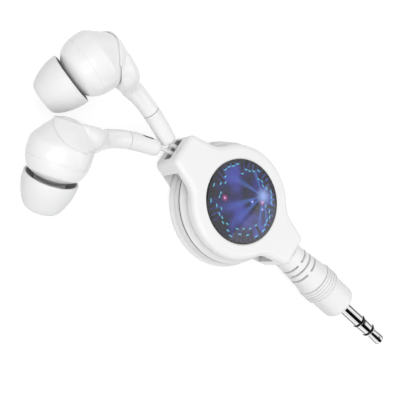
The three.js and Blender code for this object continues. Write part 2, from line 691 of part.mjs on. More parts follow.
// The stem's skin between two distances along its middle line, its section an ellipse whose
// wide way turns from level at the lead to upright on the body's back.
function stemSkin(from, to, steps, sides) {
  const path = new THREE.CatmullRomCurve3(STEM.map((s) => new THREE.Vector3(...s.at)));
  const total = path.getLength();
  const rings = [];
  for (let i = 0; i <= steps; i += 1) {
    const u = (from + ((to - from) * i) / steps) / total;
    const t = path.getUtoTmapping(u);
    const place = t * (STEM.length - 1);
    const k = Math.min(Math.floor(place), STEM.length - 2);
    const blend = place - k;
    const size = (key) => THREE.MathUtils.lerp(STEM[k][key], STEM[k + 1][key], blend);
    const centre = path.getPoint(t);
    const way = path.getTangent(t);
    const upright = THREE.MathUtils.smoothstep(centre.x, 7, 20);
    const level = new THREE.Vector3().crossVectors(way, new THREE.Vector3(0, 0, 1)).normalize();
    const up = new THREE.Vector3().crossVectors(level, way).normalize();
    const tilt = upright * degrees(62);
    const across = level.clone().multiplyScalar(Math.cos(tilt)).addScaledVector(up, Math.sin(tilt));
    const through = new THREE.Vector3().crossVectors(way, across);
    const points = [];
    for (let j = 0; j < sides; j += 1) {
      const a = (j / sides) * 2 * Math.PI;
      points.push(centre.clone()
        .addScaledVector(across, size('wide') * Math.cos(a))
        .addScaledVector(through, size('thick') * Math.sin(a)));
    }
    rings.push(points);
  }
  return loft(rings);
}

const stemPath = (upTo) => STEM.slice(0, upTo).map((s) => s.at);

function stemBore(upTo, radius) {
  const points = stemPath(upTo);
  points.unshift([-1.2, 0.4, -0.15]);
  return tube(points, radius, 2 * upTo, 6);
}

function stemSleeve() {
  return cut(stemSkin(0, SEAM_AT, 6, 12), stemBore(6, STEM_BORE_R));
}

// The petal is a cap over the body's back, an oval seen along the body's axis; the arm grows
// out of its edge. Both are cut to fit the body.
function petalArm() {
  const path = new THREE.CatmullRomCurve3(STEM.map((s) => new THREE.Vector3(...s.at)));
  const arm = stemSkin(SEAM_AT + SEAM_GAP, path.getLength(), 10, 12);
  const oval = new THREE.Shape();
  oval.absellipse(0.6, 0, PETAL_HALF_LENGTH, PETAL_HALF_WIDTH, 0, 2 * Math.PI, false);
  const prism = new THREE.ExtrudeGeometry(oval, {
    depth: 2 * BODY_REAR, bevelEnabled: false, curveSegments: 9,
  }).translate(0, 0, PETAL_FRONT - 2 * BODY_REAR);
  const towardsStem = new THREE.Vector3(-1, 0, 0);
  towardsStem.addScaledVector(bodyWay, -towardsStem.dot(bodyWay)).normalize();
  const sideways = new THREE.Vector3().crossVectors(bodyWay, towardsStem);
  prism.applyMatrix4(new THREE.Matrix4().makeBasis(towardsStem, sideways, bodyWay)
    .setPosition(centreOfBody));
  const cap = common(aim(turned(bodyProfile(-PETAL - SNUG), 24), bodyWay), prism);
  const room = aim(turned(bodyProfile(-SNUG), 24), bodyWay);
  return cut(join(cap, arm), room, stemBore(7, STEM_BORE_R));
}

function stemCable() {
  const points = stemPath(6);
  return tube(points, CORE_D / 2, 10, 6);
}

function nozzleMesh() {
  return aim(ring(0, NOZZLE_BORE_R - SNUG / 2, NOZZLE_END - MESH_THICKNESS - 0.2,
    NOZZLE_END - 0.2, 16), nozzleWay);
}

// Driver: a basket with the magnet in its cup and a domed diaphragm over its rim.
function driverPieces() {
  const rim = 1.6;
  const basket = turned([[2.6, -2.2], [3.2, -2.2], [3.2, 0.2], [DRIVER_R, 0.6], [DRIVER_R, rim],
    [DRIVER_R - 0.5, rim], [DRIVER_R - 0.5, 1.0], [2.6, 0.6]], 20);
  const magnet = ring(0, 2.6 - SNUG, -2.1, 0.1, 20);
  const film = turned([[0, 1.75 + 0.7], [1.2, 2.3], [2.2, 1.75], [DRIVER_R - 0.1, 1.75],
    [DRIVER_R - 0.1, 1.65], [2.2, 1.65], [1.2, 2.2], [0, 1.65 + 0.7]].reverse(), 20);
  return { basket: aim(basket, bodyWay), magnet: aim(magnet, bodyWay), film: aim(film, bodyWay) };
}

// Silicone tip: an inner sleeve on the nozzle, rolled over at the front into a soft skirt.
function earTip() {
  const bore = NOZZLE_R + SNUG;
  const sleeve = bore + TIP_SLEEVE_WALL;
  const t = TIP_SKIRT;
  const outer = [[TIP_BASE_R, TIP_BASE], [TIP_BASE_R - 0.08, TIP_BASE + 1.6],
    [TIP_BASE_R - 0.5, TIP_BASE + 3.4], [TIP_BASE_R - 1.15, TIP_BASE + 5.2],
    [TIP_FRONT_R, TIP_FRONT - 0.3], [TIP_FRONT_R - 0.45, TIP_FRONT]];
  const inner = [[sleeve, TIP_FRONT - 1.6], [TIP_BASE_R - 1.15 - t, TIP_BASE + 5.0],
    [TIP_BASE_R - 0.5 - t, TIP_BASE + 3.2], [TIP_BASE_R - 0.08 - t, TIP_BASE + 1.6],
    [TIP_BASE_R - t + 0.15, TIP_BASE]];
  const profile = [[bore, TIP_BASE + 0.6], [sleeve, TIP_BASE + 0.6], ...inner, ...outer,
    [bore - 0.5, TIP_FRONT], [bore - 0.5, NOZZLE_END + SNUG], [bore, NOZZLE_END + SNUG]];
  return aim(turned(profile, 20), nozzleWay);
}

function earbud(side) {
  const { leadEnd, angle } = EARBUDS[side];
  const driver = driverPieces();
  const group = new THREE.Group();
  group.add(
    mesh(`${side}_body_shell`, bodyShell(), GLOSS_WHITE),
    mesh(`${side}_petal_arm`, petalArm(), GLOSS_WHITE),
    mesh(`${side}_stem_sleeve`, stemSleeve(), SOFT_WHITE),
    mesh(`${side}_stem_cable`, stemCable(), CABLE_WHITE),
    mesh(`${side}_nozzle_mesh`, nozzleMesh(), STEEL),
    mesh(`${side}_driver_basket`, driver.basket, STEEL),
    mesh(`${side}_magnet`, driver.magnet, DARK_MAGNET),
    mesh(`${side}_diaphragm`, driver.film, FILM),
    mesh(`${side}_ear_tip`, earTip(), SILICONE),
  );
  group.position.set(leadEnd[0], leadEnd[1], AXIS_Z);
  group.rotation.z = degrees(angle);
  return group;
}

// ---------------------------------------------------------------- the whole

const earphones = new THREE.Group();
earphones.add(
  mesh('rear_cover', rearCover(), GLOSS_WHITE),
  mesh('front_cover', frontCover(), GLOSS_WHITE),
  mesh('badge_print', badgePrint(), PRINT),
  mesh('badge_lens', badgeLens(), LENS),
  mesh('spindle', spindle(), STEEL),
  mesh('cover_screw', coverScrew(), STEEL),
  mesh('spool_body', spoolBody(), SOFT_WHITE),
  mesh('spool_lid', spoolLid(), SOFT_WHITE),
  mesh('cable_pack', cablePack(), CABLE_WHITE),
  mesh('cable_outer_turns', outerTurns(), CABLE_WHITE),
  mesh('power_spring', powerSpring(), STEEL),
  mesh('lock_ball', lockBall(), STEEL),
  mesh('left_cable_run', cableRun(LEAD_Y, grooveMiddle + CORE_D / 2 + 0.05, 1), CABLE_WHITE),
  mesh('right_cable_run', cableRun(-LEAD_Y, grooveMiddle - CORE_D / 2 - 0.05, 1), CABLE_WHITE),
  mesh('plug_cable_run', cableRun(0, grooveMiddle, -1), CABLE_WHITE),
  ...plugPieces(),
);
for (const side of ['left', 'right']) {
  earphones.add(mesh(`${side}_lead`, earLead(side), CABLE_WHITE));
  earphones.add(earbud(side));
}

export default earphones;
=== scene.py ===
# %% [markdown]
# Retractable in-ear earphones, cable wound in, lying on their flat rear face.
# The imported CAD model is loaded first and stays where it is: it says how large everything is,
# where it sits and what moves. Everything below dresses that frame in smooth, finished pieces.
# Lengths are written in millimetres and turned to metres by one factor, MM.

# %% Load the frame
import json
import math
import bpy
from mathutils import Matrix, Vector


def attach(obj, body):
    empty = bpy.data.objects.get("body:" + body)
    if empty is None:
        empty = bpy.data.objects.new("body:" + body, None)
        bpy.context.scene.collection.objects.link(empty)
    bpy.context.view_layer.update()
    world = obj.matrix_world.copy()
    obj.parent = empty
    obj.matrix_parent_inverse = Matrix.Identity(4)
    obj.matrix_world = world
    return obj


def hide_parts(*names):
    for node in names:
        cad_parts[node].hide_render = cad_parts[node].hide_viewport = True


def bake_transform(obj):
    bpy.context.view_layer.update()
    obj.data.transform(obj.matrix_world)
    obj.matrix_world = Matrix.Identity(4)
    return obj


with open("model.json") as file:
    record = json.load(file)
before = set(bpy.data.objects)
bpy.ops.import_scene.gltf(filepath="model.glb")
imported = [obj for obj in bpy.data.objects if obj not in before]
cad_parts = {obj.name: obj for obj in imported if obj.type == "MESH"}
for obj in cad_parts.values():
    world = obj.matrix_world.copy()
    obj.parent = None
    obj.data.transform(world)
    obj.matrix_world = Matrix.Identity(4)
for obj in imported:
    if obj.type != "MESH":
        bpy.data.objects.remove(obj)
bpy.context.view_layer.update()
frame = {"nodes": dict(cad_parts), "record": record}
MM = 0.001

# %% [markdown]
# The camera stands above the mouth side of the reel and looks down on the badge. A long lens
# keeps the perspective gentle. Its three axes are given as directions, which a rotation matrix
# takes directly, so nothing has to be aimed by hand.

# %% Camera
CAMERA_RIGHT = (0.6807, 0.4876, 0.5467)
CAMERA_UP = (-0.6182, 0.7827, 0.0716)
CAMERA_BACK = (-0.3930, -0.3868, 0.8343)
CAMERA_PLACE = (-81.59, -78.20, 163.61)
LENS = 81


def put_in_scene(name, data):
    thing = bpy.data.objects.new(name, data)
    bpy.context.scene.collection.objects.link(thing)
    return thing


camera = put_in_scene("product_lens", bpy.data.cameras.new("product_lens"))
camera.data.lens = LENS
camera.data.clip_start = 0.01
camera_turn = Matrix((CAMERA_RIGHT, CAMERA_UP, CAMERA_BACK)).transposed().to_4x4()
camera.matrix_world = Matrix.Translation(Vector(CAMERA_PLACE) * MM) @ camera_turn
bpy.context.scene.camera = camera
print("camera at", tuple(round(c, 4) for c in camera.location), "lens", camera.data.lens)

# %% [markdown]
# Sizes that several pieces share. A reel like this is drawn around its cable: the groove holds two
# cores side by side, the flanges close the groove, and the covers close round the flanges.

# %% Shared sizes
REEL_THICKNESS = 9.0
COVER_R = 12.4
NECK_END_X = 18.06
NECK_END_HALF = 3.79
NECK_TAPER = math.radians(15)
NECK_CORNER_R = 1.45
FILLET_R = 6.0
RIM = 1.3
WALL = 1.0
FLOOR = 1.0
CEILING = 7.7
WINDOW_END_X = 15.3
WINDOW_TOP = 6.9
AXIS_Z = 4.5
PORT_HALF = 2.6
PORT_HALF_HEIGHT = 1.2
BADGE_R = 9.15
BADGE_SEAT = 8.6
GROOVE_LOW = 2.1
GROOVE_TOP = 4.2
LID_TOP = 5.2
TRACK_TOP = 5.9
SPINDLE_BORE_R = 1.68
CORE_D = 0.9
PORT_Y = 0.85
print("reel", REEL_THICKNESS, "thick, groove", round(GROOVE_TOP - GROOVE_LOW, 2), "wide")

# %% [markdown]
# Small helpers do the handwork. One deselects everything, because an operator acts on all that
# is selected. One draws a chain of vertices, extruding from point to point as with the E key.
# Two end the work in edit mode: vertices that touch are merged, and normals are turned out. One
# pulls a filled ring up into a block. One fits a modifier and applies it. The last puts a piece
# where it belongs and moves that place into its mesh, so that the object stays at the origin.

# %% Handwork helpers
TOUCHING = 0.0001
NEARLY_TOUCHING = 0.001


def nothing_selected():
    if bpy.context.object and bpy.context.object.mode != "OBJECT":
        bpy.ops.object.mode_set(mode="OBJECT")
    bpy.ops.object.select_all(action="DESELECT")


def only(piece):
    nothing_selected()
    piece.select_set(True)
    bpy.context.view_layer.objects.active = piece
    return piece


def named(name):
    piece = bpy.context.active_object
    piece.name = piece.data.name = name
    return piece


def drawn_chain(name, points):
    nothing_selected()
    bpy.ops.mesh.primitive_plane_add(size=MM, location=Vector(points[0]) * MM)
    piece = named(name)
    bpy.ops.object.transform_apply(location=True)
    bpy.ops.object.mode_set(mode="EDIT")
    bpy.ops.mesh.merge(type="CENTER")
    for here, there in zip(points, points[1:]):
        step = (Vector(there) - Vector(here)) * MM
        bpy.ops.mesh.extrude_vertices_move(TRANSFORM_OT_translate={"value": step})
    return piece


def merged(gap=TOUCHING):
    bpy.ops.mesh.select_all(action="SELECT")
    bpy.ops.mesh.remove_doubles(threshold=gap * MM)


def turned_out():
    bpy.ops.mesh.select_all(action="SELECT")
    bpy.ops.mesh.normals_make_consistent(inside=False)
    bpy.ops.object.mode_set(mode="OBJECT")


def pulled_block(name, ring, push):
    piece = drawn_chain(name, [*ring, ring[0]])
    merged(NEARLY_TOUCHING)
    bpy.ops.mesh.edge_face_add()
    bpy.ops.mesh.extrude_region_move(TRANSFORM_OT_translate={"value": Vector(push) * MM})
    turned_out()
    return piece


def finished_with(piece, kind, **settings):
    only(piece)
    change = piece.modifiers.new(kind.lower(), kind)
    for key, value in settings.items():
        setattr(change, key, value)
    bpy.ops.object.modifier_apply(modifier=change.name)
    return piece


def settled(piece, place):
    only(piece)
    piece.matrix_world = place
    bpy.ops.object.transform_apply(location=True, rotation=True, scale=True)
    return piece


# %% [markdown]
# A round piece is a profile and a spin. The profile is a list of (radius, height) corners, and a
# third number rounds that corner, since no moulded or turned edge is perfectly sharp. Spinning
# leaves a pile of vertices on the axis, so doubles are merged before the normals are turned out.

# %% Turned pieces
def softened(corners, steps=4, closed=False):
    points = []
    count = len(corners)
    for i, corner in enumerate(corners):
        here = Vector(corner[:2])
        radius = corner[2] if len(corner) > 2 else 0
        if radius == 0 or (not closed and i in (0, count - 1)):
            points.append(tuple(here))
            continue
        before = (Vector(corners[i - 1][:2]) - here).normalized()
        after = (Vector(corners[(i + 1) % count][:2]) - here).normalized()
        half = before.angle(after) / 2
        centre = here + (before + after).normalized() * radius / math.sin(half)
        start = here + before * radius / math.tan(half) - centre
        turn = start.angle_signed(here + after * radius / math.tan(half) - centre)
        for k in range(steps + 1):
            a = math.atan2(start.y, start.x) - turn * k / steps
            points.append((centre.x + radius * math.cos(a), centre.y + radius * math.sin(a)))
    return points


def spun(name, profile, steps=64, round_steps=4):
    on_axis = profile[0][0] == 0 and profile[-1][0] == 0
    outline = softened(profile, round_steps, closed=not on_axis)
    if not on_axis:
        outline.append(outline[0])
    piece = drawn_chain(name, [(r, 0, z) for r, z in outline])
    bpy.ops.mesh.select_all(action="SELECT")
    bpy.ops.mesh.spin(steps=steps, angle=2 * math.pi, center=(0, 0, 0), axis=(0, 0, 1))
    merged()
    turned_out()
    return piece


def flowing(points, steps=6):
    run = [Vector(p) for p in points]
    run = [2 * run[0] - run[1], *run, 2 * run[-1] - run[-2]]
    smooth = []
    for a, b, c, d in zip(run, run[1:], run[2:], run[3:]):
        for k in range(steps):
            t = k / steps
            smooth.append(((2 * b) + (c - a) * t + (2 * a - 5 * b + 4 * c - d) * t * t
                           + (3 * b - a - 3 * c + d) * t ** 3) / 2)
    return [tuple(p) for p in smooth] + [tuple(points[-1])]


ON_PLUG_AXIS = Matrix.Translation((0, 0, AXIS_Z * MM)) @ Matrix.Rotation(math.pi / 2, 4, "Y")
print("turning helpers ready; a quarter arc of 4 steps:", len(softened([(0, 0), (1, 0, 0.2), (1, 1)])) - 2)

# %% [markdown]
# Cutting and joining solids is a Boolean modifier. It can leave slivers thinner than a hair
# where two walls nearly meet, so a cleaning step merges them away. Shading by angle keeps real
# edges crisp. Weighted normals then make each large flat face shade flat, with all of the bend
# in its rounded border. Some pieces have a second tone of painted shade: the faces that get it
# are picked by their place and carry material number 1, while number 0 is the piece's own finish.

# %% Cutting, joining and shading
SLIVER = 0.002


def cut_by(piece, tool, operation="DIFFERENCE"):
    finished_with(piece, "BOOLEAN", object=tool, operation=operation, solver="EXACT")
    bpy.data.objects.remove(tool)
    return piece


def fused(piece, other):
    return cut_by(piece, other, "UNION")


def block(name, x, y, z):
    nothing_selected()
    middle = [(low + high) / 2 * MM for low, high in (x, y, z)]
    size = [(high - low) * MM for low, high in (x, y, z)]
    bpy.ops.mesh.primitive_cube_add(size=1, location=middle, scale=size)
    piece = named(name)
    bpy.ops.object.transform_apply(location=True, rotation=True, scale=True)
    return piece


def cleaned(piece):
    only(piece)
    bpy.ops.object.mode_set(mode="EDIT")
    merged(SLIVER)
    bpy.ops.mesh.dissolve_degenerate(threshold=SLIVER * MM)
    bpy.ops.object.mode_set(mode="OBJECT")
    return piece


def shaded(piece, angle=35, flat_faces=True):
    only(piece)
    bpy.ops.object.shade_smooth_by_angle(angle=math.radians(angle))
    if flat_faces:
        finished_with(piece, "WEIGHTED_NORMAL", keep_sharp=True)
    return piece


# Paints shade on the faces that chosen picks, as material number 1.
def painted_shade_on(piece, chosen):
    for face in piece.data.polygons:
        face.material_index = int(chosen(face.center / MM, face.normal))
    print(piece.name, "second tone on", sum(face.material_index for face in piece.data.polygons), "faces")
    return piece


new_pieces = {}


def dressed(piece, body, slot, *nodes):
    new_pieces[piece.name] = slot
    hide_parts(*nodes)
    if body:
        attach(piece, body)
    print(piece.name, "on", body or "two bodies:", len(piece.data.polygons), "faces, stands for", *nodes)
    return piece


# %% [markdown]
# The reel's two covers are one lemon-shaped block, split at the height of the plug's axis. The
# outline is a disc whose sides run in hollow curves to a neck at each end. One quarter of it is
# worked out as three arcs and mirrored, then drawn, filled and pulled up into a block, and the
# edge that shows is bevelled round. A mould maker would sweep a ball cutter along the same line.

# %% Lemon outline
def arc(centre, radius, start, end, steps):
    turn = [start + (end - start) * k / steps for k in range(steps + 1)]
    return [(centre[0] + radius * math.cos(a), centre[1] + radius * math.sin(a)) for a in turn]


def lemon_outline(inset=0.0):
    disc_r, fillet, corner = COVER_R - inset, FILLET_R + inset, NECK_CORNER_R - inset
    start = Vector((NECK_END_X - inset, NECK_END_HALF - inset))
    along = Vector((-math.cos(NECK_TAPER), math.sin(NECK_TAPER)))
    out = Vector((math.sin(NECK_TAPER), math.cos(NECK_TAPER)))
    base = start + out * fillet
    b = base.dot(along)
    centre = base + along * (-b - math.sqrt(b * b - base.length_squared + (disc_r + fillet) ** 2))
    touch = math.atan2(centre.y, centre.x)
    from_neck = math.atan2(-out.y, -out.x) % (2 * math.pi)
    round_y = start.y - corner * math.tan((math.pi / 2 - NECK_TAPER) / 2)
    quarter = arc((start.x - corner, round_y), corner, 0, math.pi / 2 - NECK_TAPER, 5)
    quarter += arc(centre, fillet, from_neck, touch + math.pi, 8)
    quarter += arc((0, 0), disc_r, touch, math.pi / 2, 16)
    left = [(-x, y) for x, y in reversed(quarter)]
    half = quarter + left[1:]
    return half + [(-x, -y) for x, y in half]


outline = lemon_outline()
print("outline of", len(outline), "points, from", min(outline), "to", max(outline))


# %% Lemon blocks
def lemon_block(name, inset, low, high):
    return pulled_block(name, [(x, y, low) for x, y in lemon_outline(inset)], (0, 0, high - low))


def rounded_edge(piece, chosen, radius, segments):
    only(piece)
    bpy.ops.object.mode_set(mode="EDIT")
    bpy.ops.mesh.select_mode(type="EDGE")
    bpy.ops.mesh.select_all(action="DESELECT")
    bpy.ops.object.mode_set(mode="OBJECT")
    vertices = piece.data.vertices
    for edge in piece.data.edges:
        edge.select = all(chosen(vertices[v].co / MM) for v in edge.vertices)
    bpy.ops.object.mode_set(mode="EDIT")
    bpy.ops.mesh.bevel(offset=radius * MM, segments=segments, affect="EDGES", clamp_overlap=False)
    bpy.ops.mesh.select_mode(type="VERT")
    bpy.ops.object.mode_set(mode="OBJECT")
    return piece


# %% [markdown]
# Both covers are hollowed by the same three cutters: the inside of the lemon, one long slot that
# opens the side windows, and the port through both necks for the cable. The slot's and port's
# edges get a small bevel afterwards, which draws the thin bright lines round each opening. The
# throat that the ear leads come out of has a greyer second tone of painted shade, since little
# light gets in there; a face is in the throat when it lies past the window's end, within the
# outline drawn in by most of the wall, or on the port through the end wall.

# %% Hollow and openings
def hollowed(cover):
    reach = 2 * NECK_END_X
    cut_by(cover, lemon_block("inside", WALL, FLOOR, CEILING))
    cut_by(cover, block("windows", (-WINDOW_END_X, WINDOW_END_X), (-reach, reach), (FLOOR, WINDOW_TOP)))
    cut_by(cover, block("cable_port", (-reach, reach), (-PORT_HALF, PORT_HALF),
                        (AXIS_Z - PORT_HALF_HEIGHT, AXIS_Z + PORT_HALF_HEIGHT)))
    return cover


def broken_edges(piece, width, angle=55, segments=2):
    return finished_with(piece, "BEVEL", width=width * MM, segments=segments, limit_method="ANGLE",
                         angle_limit=math.radians(angle), use_clamp_overlap=True)


THROAT_RING = lemon_outline(0.8 * WALL)


def within(x, y, ring):
    crossings = 0
    for (x0, y0), (x1, y1) in zip(ring, ring[1:] + ring[:1]):
        if (y0 > y) != (y1 > y) and x < x0 + (y - y0) / (y1 - y0) * (x1 - x0):
            crossings += 1
    return crossings % 2 == 1


def in_throat(at, normal):
    inside = FLOOR - 0.1 < at.z < CEILING + 0.4 and within(at.x, at.y, THROAT_RING)
    in_port = abs(at.y) < PORT_HALF + 0.05 and abs(at.z - AXIS_Z) < PORT_HALF_HEIGHT + 0.05
    return at.x < -WINDOW_END_X and (inside or in_port and at.x > 0.2 - NECK_END_X)


front_cover = lemon_block("front_cover_moulding", 0, AXIS_Z, REEL_THICKNESS)
rounded_edge(front_cover, lambda at: at.z > REEL_THICKNESS - 0.01, RIM, 7)
hollowed(front_cover)
rear_cover = lemon_block("rear_cover_moulding", 0, 0, AXIS_Z)
rounded_edge(rear_cover, lambda at: at.z < 0.01, RIM, 7)
hollowed(rear_cover)
print("covers cut:", len(front_cover.data.polygons), "and", len(rear_cover.data.polygons), "faces")

# %% [markdown]
# Inside the front cover a ring hangs round the spool, a boss takes the screw and a small guide
# keeps the lock ball on its radius. They are moulded in one with the cover, so they are joined to
# it before the badge's seat is sunk into its face with a fine chamfer that reads as a white ring.

# %% Front cover's inside and badge seat
def ball_guide():
    guide = block("ball_guide", (6.8 - WALL, 10.2 + WALL), (-1.75, 1.75), (TRACK_TOP + 0.15, CEILING + 0.15))
    cut_by(guide, block("guide_slot", (6.8, 10.2), (-0.75, 0.75), (0, CEILING - 0.15)))
    return settled(guide, Matrix.Rotation(math.radians(100), 4, "Z"))


fused(front_cover, spun("hanging_ring", [(11, 5.5, 0.15), (11.9, 5.5, 0.15), (11.9, 7.8), (11, 7.8)], 96))
fused(front_cover, spun("screw_boss", [(0, 6.5), (2.8, 6.5, 0.2), (2.8, 7.8), (0, 7.8)], 48))
fused(front_cover, ball_guide())
cut_by(front_cover, spun("badge_seat", [(0, BADGE_SEAT), (9.3, BADGE_SEAT), (9.3, 8.84), (9.62, 9.02),
                                        (9.62, 10), (0, 10)], 128))
cut_by(front_cover, spun("screw_seat", [(0, 5), (0.95, 5), (0.95, 7.55), (1.95, 7.55), (1.95, 10),
                                        (0, 10)], 48))
broken_edges(front_cover, 0.12)
# The throat's faces get painted shade.
painted_shade_on(shaded(cleaned(front_cover)), in_throat)
dressed(front_cover, "reel", "gloss_white_abs", "front_cover")

# %% Rear cover's socket for the spindle
fused(rear_cover, spun("socket_wall", [(0, 0.5), (2.75, 0.5), (2.75, 1.15, 0.1), (0, 1.15)], 48))
cut_by(rear_cover, spun("socket", [(0, 0.4), (1.75, 0.4), (1.75, 2), (0, 2)], 48))
broken_edges(rear_cover, 0.12)
# The throat's faces get painted shade.
painted_shade_on(shaded(cleaned(rear_cover)), in_throat)
dressed(rear_cover, "reel", "gloss_white_abs", "rear_cover")

# %% [markdown]
# The spool turns inside: a rear flange with the hub, and a front flange that carries the ball
# track. Through the side windows only their thin rims show, so the rims are the careful part.
# Each is one profile and one spin; the three catches of the track are short spins of a small
# section, turned to their places. A thin black line is painted round the lower edge of the lid's rim as the
# shadow in the gap beneath it.

# %% Spool
spool_body = spun("spool_moulding", [
    (SPINDLE_BORE_R, 1.45), (2.95, 1.45), (2.95, 1.3), (13.75, 1.3, 0.2), (13.75, GROOVE_LOW, 0.2),
    (5.6, GROOVE_LOW, 0.1), (5.6, 4.15, 0.1), (4.9, 4.15), (4.9, GROOVE_LOW),
    (SPINDLE_BORE_R, GROOVE_LOW)], 128)
shaded(spool_body)
dressed(spool_body, "spool", "spool_white", "spool_body")


def swept(name, section, from_degrees, to_degrees, steps, round_steps=3):
    outline = softened(section, round_steps, closed=True)
    piece = drawn_chain(name, [(r, 0, z) for r, z in outline + outline[:1]])
    merged()
    bpy.ops.mesh.edge_face_add()
    bpy.ops.mesh.spin(steps=steps, angle=math.radians(to_degrees - from_degrees), center=(0, 0, 0),
                      axis=(0, 0, 1))
    turned_out()
    # The spin runs clockwise, so the section starts from the far end of the arc.
    return settled(piece, Matrix.Rotation(math.radians(to_degrees), 4, "Z"))


spool_lid = spun("spool_lid_moulding", [
    (SPINDLE_BORE_R, GROOVE_TOP), (13.2, GROOVE_TOP, 0.15), (13.2, GROOVE_TOP + 0.42), (13.2, LID_TOP, 0.2),
    (10.8, LID_TOP, 0.1), (10.8, TRACK_TOP, 0.15), (10.2, TRACK_TOP, 0.15), (10.2, LID_TOP), (6.8, LID_TOP),
    (6.8, TRACK_TOP, 0.15), (6.2, TRACK_TOP, 0.15), (6.2, LID_TOP, 0.1), (SPINDLE_BORE_R, LID_TOP)], 128)
catch = [(8.2, LID_TOP - 0.5), (8.8, LID_TOP - 0.5), (8.8, TRACK_TOP, 0.12), (8.2, TRACK_TOP, 0.12)]
for middle in (170, 245, 320):
    fused(spool_lid, swept("catch", catch, middle - 12, middle + 12, 8))
shaded(spool_lid)
# The lower edge of the lid's rim gets a painted black shadow for the gap beneath it.
painted_shade_on(spool_lid, lambda at, normal: math.hypot(at.x, at.y) > 12 and at.z < GROOVE_TOP + 0.4)
dressed(spool_lid, "spool", "spool_white", "spool_lid")

# %% [markdown]
# The cable is a flat twin, wound in layers. Seen from the side its last layer is a smooth light
# band with one fine line between its two cores. The inner layers are a spun drum with a soft
# scallop where each core would be; the last layer is one unbroken curve, two turns side by side
# with a short step across hidden in the neck, given a rounded section by a bevel object.

# %% Wound cable
def drawn_curve(name, points, closed=False):
    data = bpy.data.curves.new(name, "CURVE")
    data.dimensions = "2D" if closed else "3D"
    spline = data.splines.new("POLY")
    spline.points.add(len(points) - 1)
    for point, place in zip(spline.points, points):
        point.co = (*(Vector(place) * MM), 1)
    spline.use_cyclic_u = closed
    return put_in_scene(name, data)


def core_section(half_wide, half_thick, corner):
    signs = ((-1, -1), (1, -1), (1, 1), (-1, 1))
    points = softened([(x * half_wide, y * half_thick, corner) for x, y in signs], 3, closed=True)
    return drawn_curve("core_section", [(x, y, 0) for x, y in points], closed=True)


def laid_cable(name, points, radius=None, section=None):
    piece = drawn_curve(name, points)
    piece.data.twist_mode = "Z_UP"
    piece.data.use_fill_caps = True
    if section:
        piece.data.bevel_mode = "OBJECT"
        piece.data.bevel_object = section
    else:
        piece.data.bevel_depth = radius * MM
        piece.data.bevel_resolution = 4
    only(piece)
    bpy.ops.object.convert(target="MESH")
    bpy.ops.object.mode_set(mode="EDIT")
    merged()
    turned_out()
    if section:
        bpy.data.objects.remove(section)
    piece.data.name = name
    return shaded(piece, 50, flat_faces=False)


def coil_points(radius, middle, pitch, per_turn=120):
    step_share = 0.125
    steps = round((2 - step_share) * per_turn)
    points = []
    for i in range(steps + 1):
        turn = i / per_turn
        t = min(max((turn - (1 - step_share)) / step_share, 0), 1)
        across = t * t * (3 - 2 * t)
        a = (turn + step_share / 2) * 2 * math.pi
        points.append((radius * math.cos(a), radius * math.sin(a), middle + (across - 0.5) * pitch))
    return points


last_layer = laid_cable("wound_cable_last_layer", coil_points(12.6, 3.15, 0.99),
                        section=core_section(0.41, 0.49, 0.24))
dressed(last_layer, "spool", "cable_jacket", "cable_outer_turns")
inner_layers = spun("wound_cable_inner_layers", [
    (5.75, 2.25), (11.6, 2.25), (12.0, 2.45, 0.1), (12.0, 2.95, 0.15), (11.85, 3.15, 0.05),
    (12.0, 3.35, 0.15), (12.0, 3.85, 0.1), (11.6, 4.05), (5.75, 4.05)], 96)
shaded(inner_layers)
dressed(inner_layers, "spool", "cable_jacket", "cable_pack")

# %% [markdown]
# Inside each neck a core leaves the spool at a tangent, crosses the groove and comes up to the
# port. Those three runs stay with the reel. The two ear leads and the plug's lead start inside
# the ends of the runs and are tied to no single body.

# %% Cable runs
WINDING_R = 12.75


def cable_run(name, node, end_y, height, sign):
    reach = WINDOW_END_X + 0.6
    a = math.acos(WINDING_R / reach)
    touch = Vector((-WINDING_R * math.cos(a), WINDING_R * math.sin(a)))
    halfway = touch.lerp(Vector((-reach, end_y)), 0.5)
    points = [(*touch, height), (*halfway, height), (-reach + 0.9, end_y + 0.9, (height + AXIS_Z) / 2 + 0.2),
              (-reach, end_y, AXIS_Z), (-reach - 0.8, end_y, AXIS_Z)]
    run = laid_cable(name, flowing([(sign * x, sign * y, z) for x, y, z in points], 8), CORE_D / 2)
    return dressed(run, "reel", "cable_jacket", node)


cable_run("left_run", "left_cable_run", PORT_Y, 3.65, 1)
cable_run("right_run", "right_cable_run", -PORT_Y, 2.65, 1)
cable_run("plug_run", "plug_cable_run", 0, 3.15, -1)

# %% Leads that pull out
# Where each lead meets its earbud, and the way it points there in degrees.
LEAD_ENDS = {"left": ((-19.7, 0.6), 177.6), "right": ((-21.2, -2.3), 218.8)}


def ear_lead(side):
    (end_x, end_y), angle = LEAD_ENDS[side]
    way_x, way_y = math.cos(math.radians(angle)), math.sin(math.radians(angle))
    y = PORT_Y if side == "left" else -PORT_Y
    points = [(-16.5, y, AXIS_Z), (-17.9, y, AXIS_Z)]
    points += [(end_x - short * way_x, end_y - short * way_y, AXIS_Z) for short in (0.8, 0.35)]
    lead = laid_cable(side + "_ear_lead", flowing(points, 10), CORE_D / 2)
    dressed(lead, None, "cable_jacket", side + "_lead")
    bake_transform(lead)
    return lead


for side in LEAD_ENDS:
    ear_lead(side)


# %% The plug's lead
plug_lead = laid_cable("plug_lead_core", [(16.5 + 0.1 * k, 0, AXIS_Z) for k in range(38)], 0.54)
dressed(plug_lead, None, "cable_jacket", "plug_lead")
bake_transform(plug_lead)

# %% [markdown]
# The badge is a printed disc under a clear resin dome. The dome is poured: its middle is almost
# flat and it rolls down to a low edge, which is what surface tension does. A thin air gap keeps
# the two apart, so that light finds its way under the dome.

# %% Badge
PRINT_TOP = 8.72
DOME_TOP = 9.745
DOME_DROP = 0.72
ROLL = 2.6

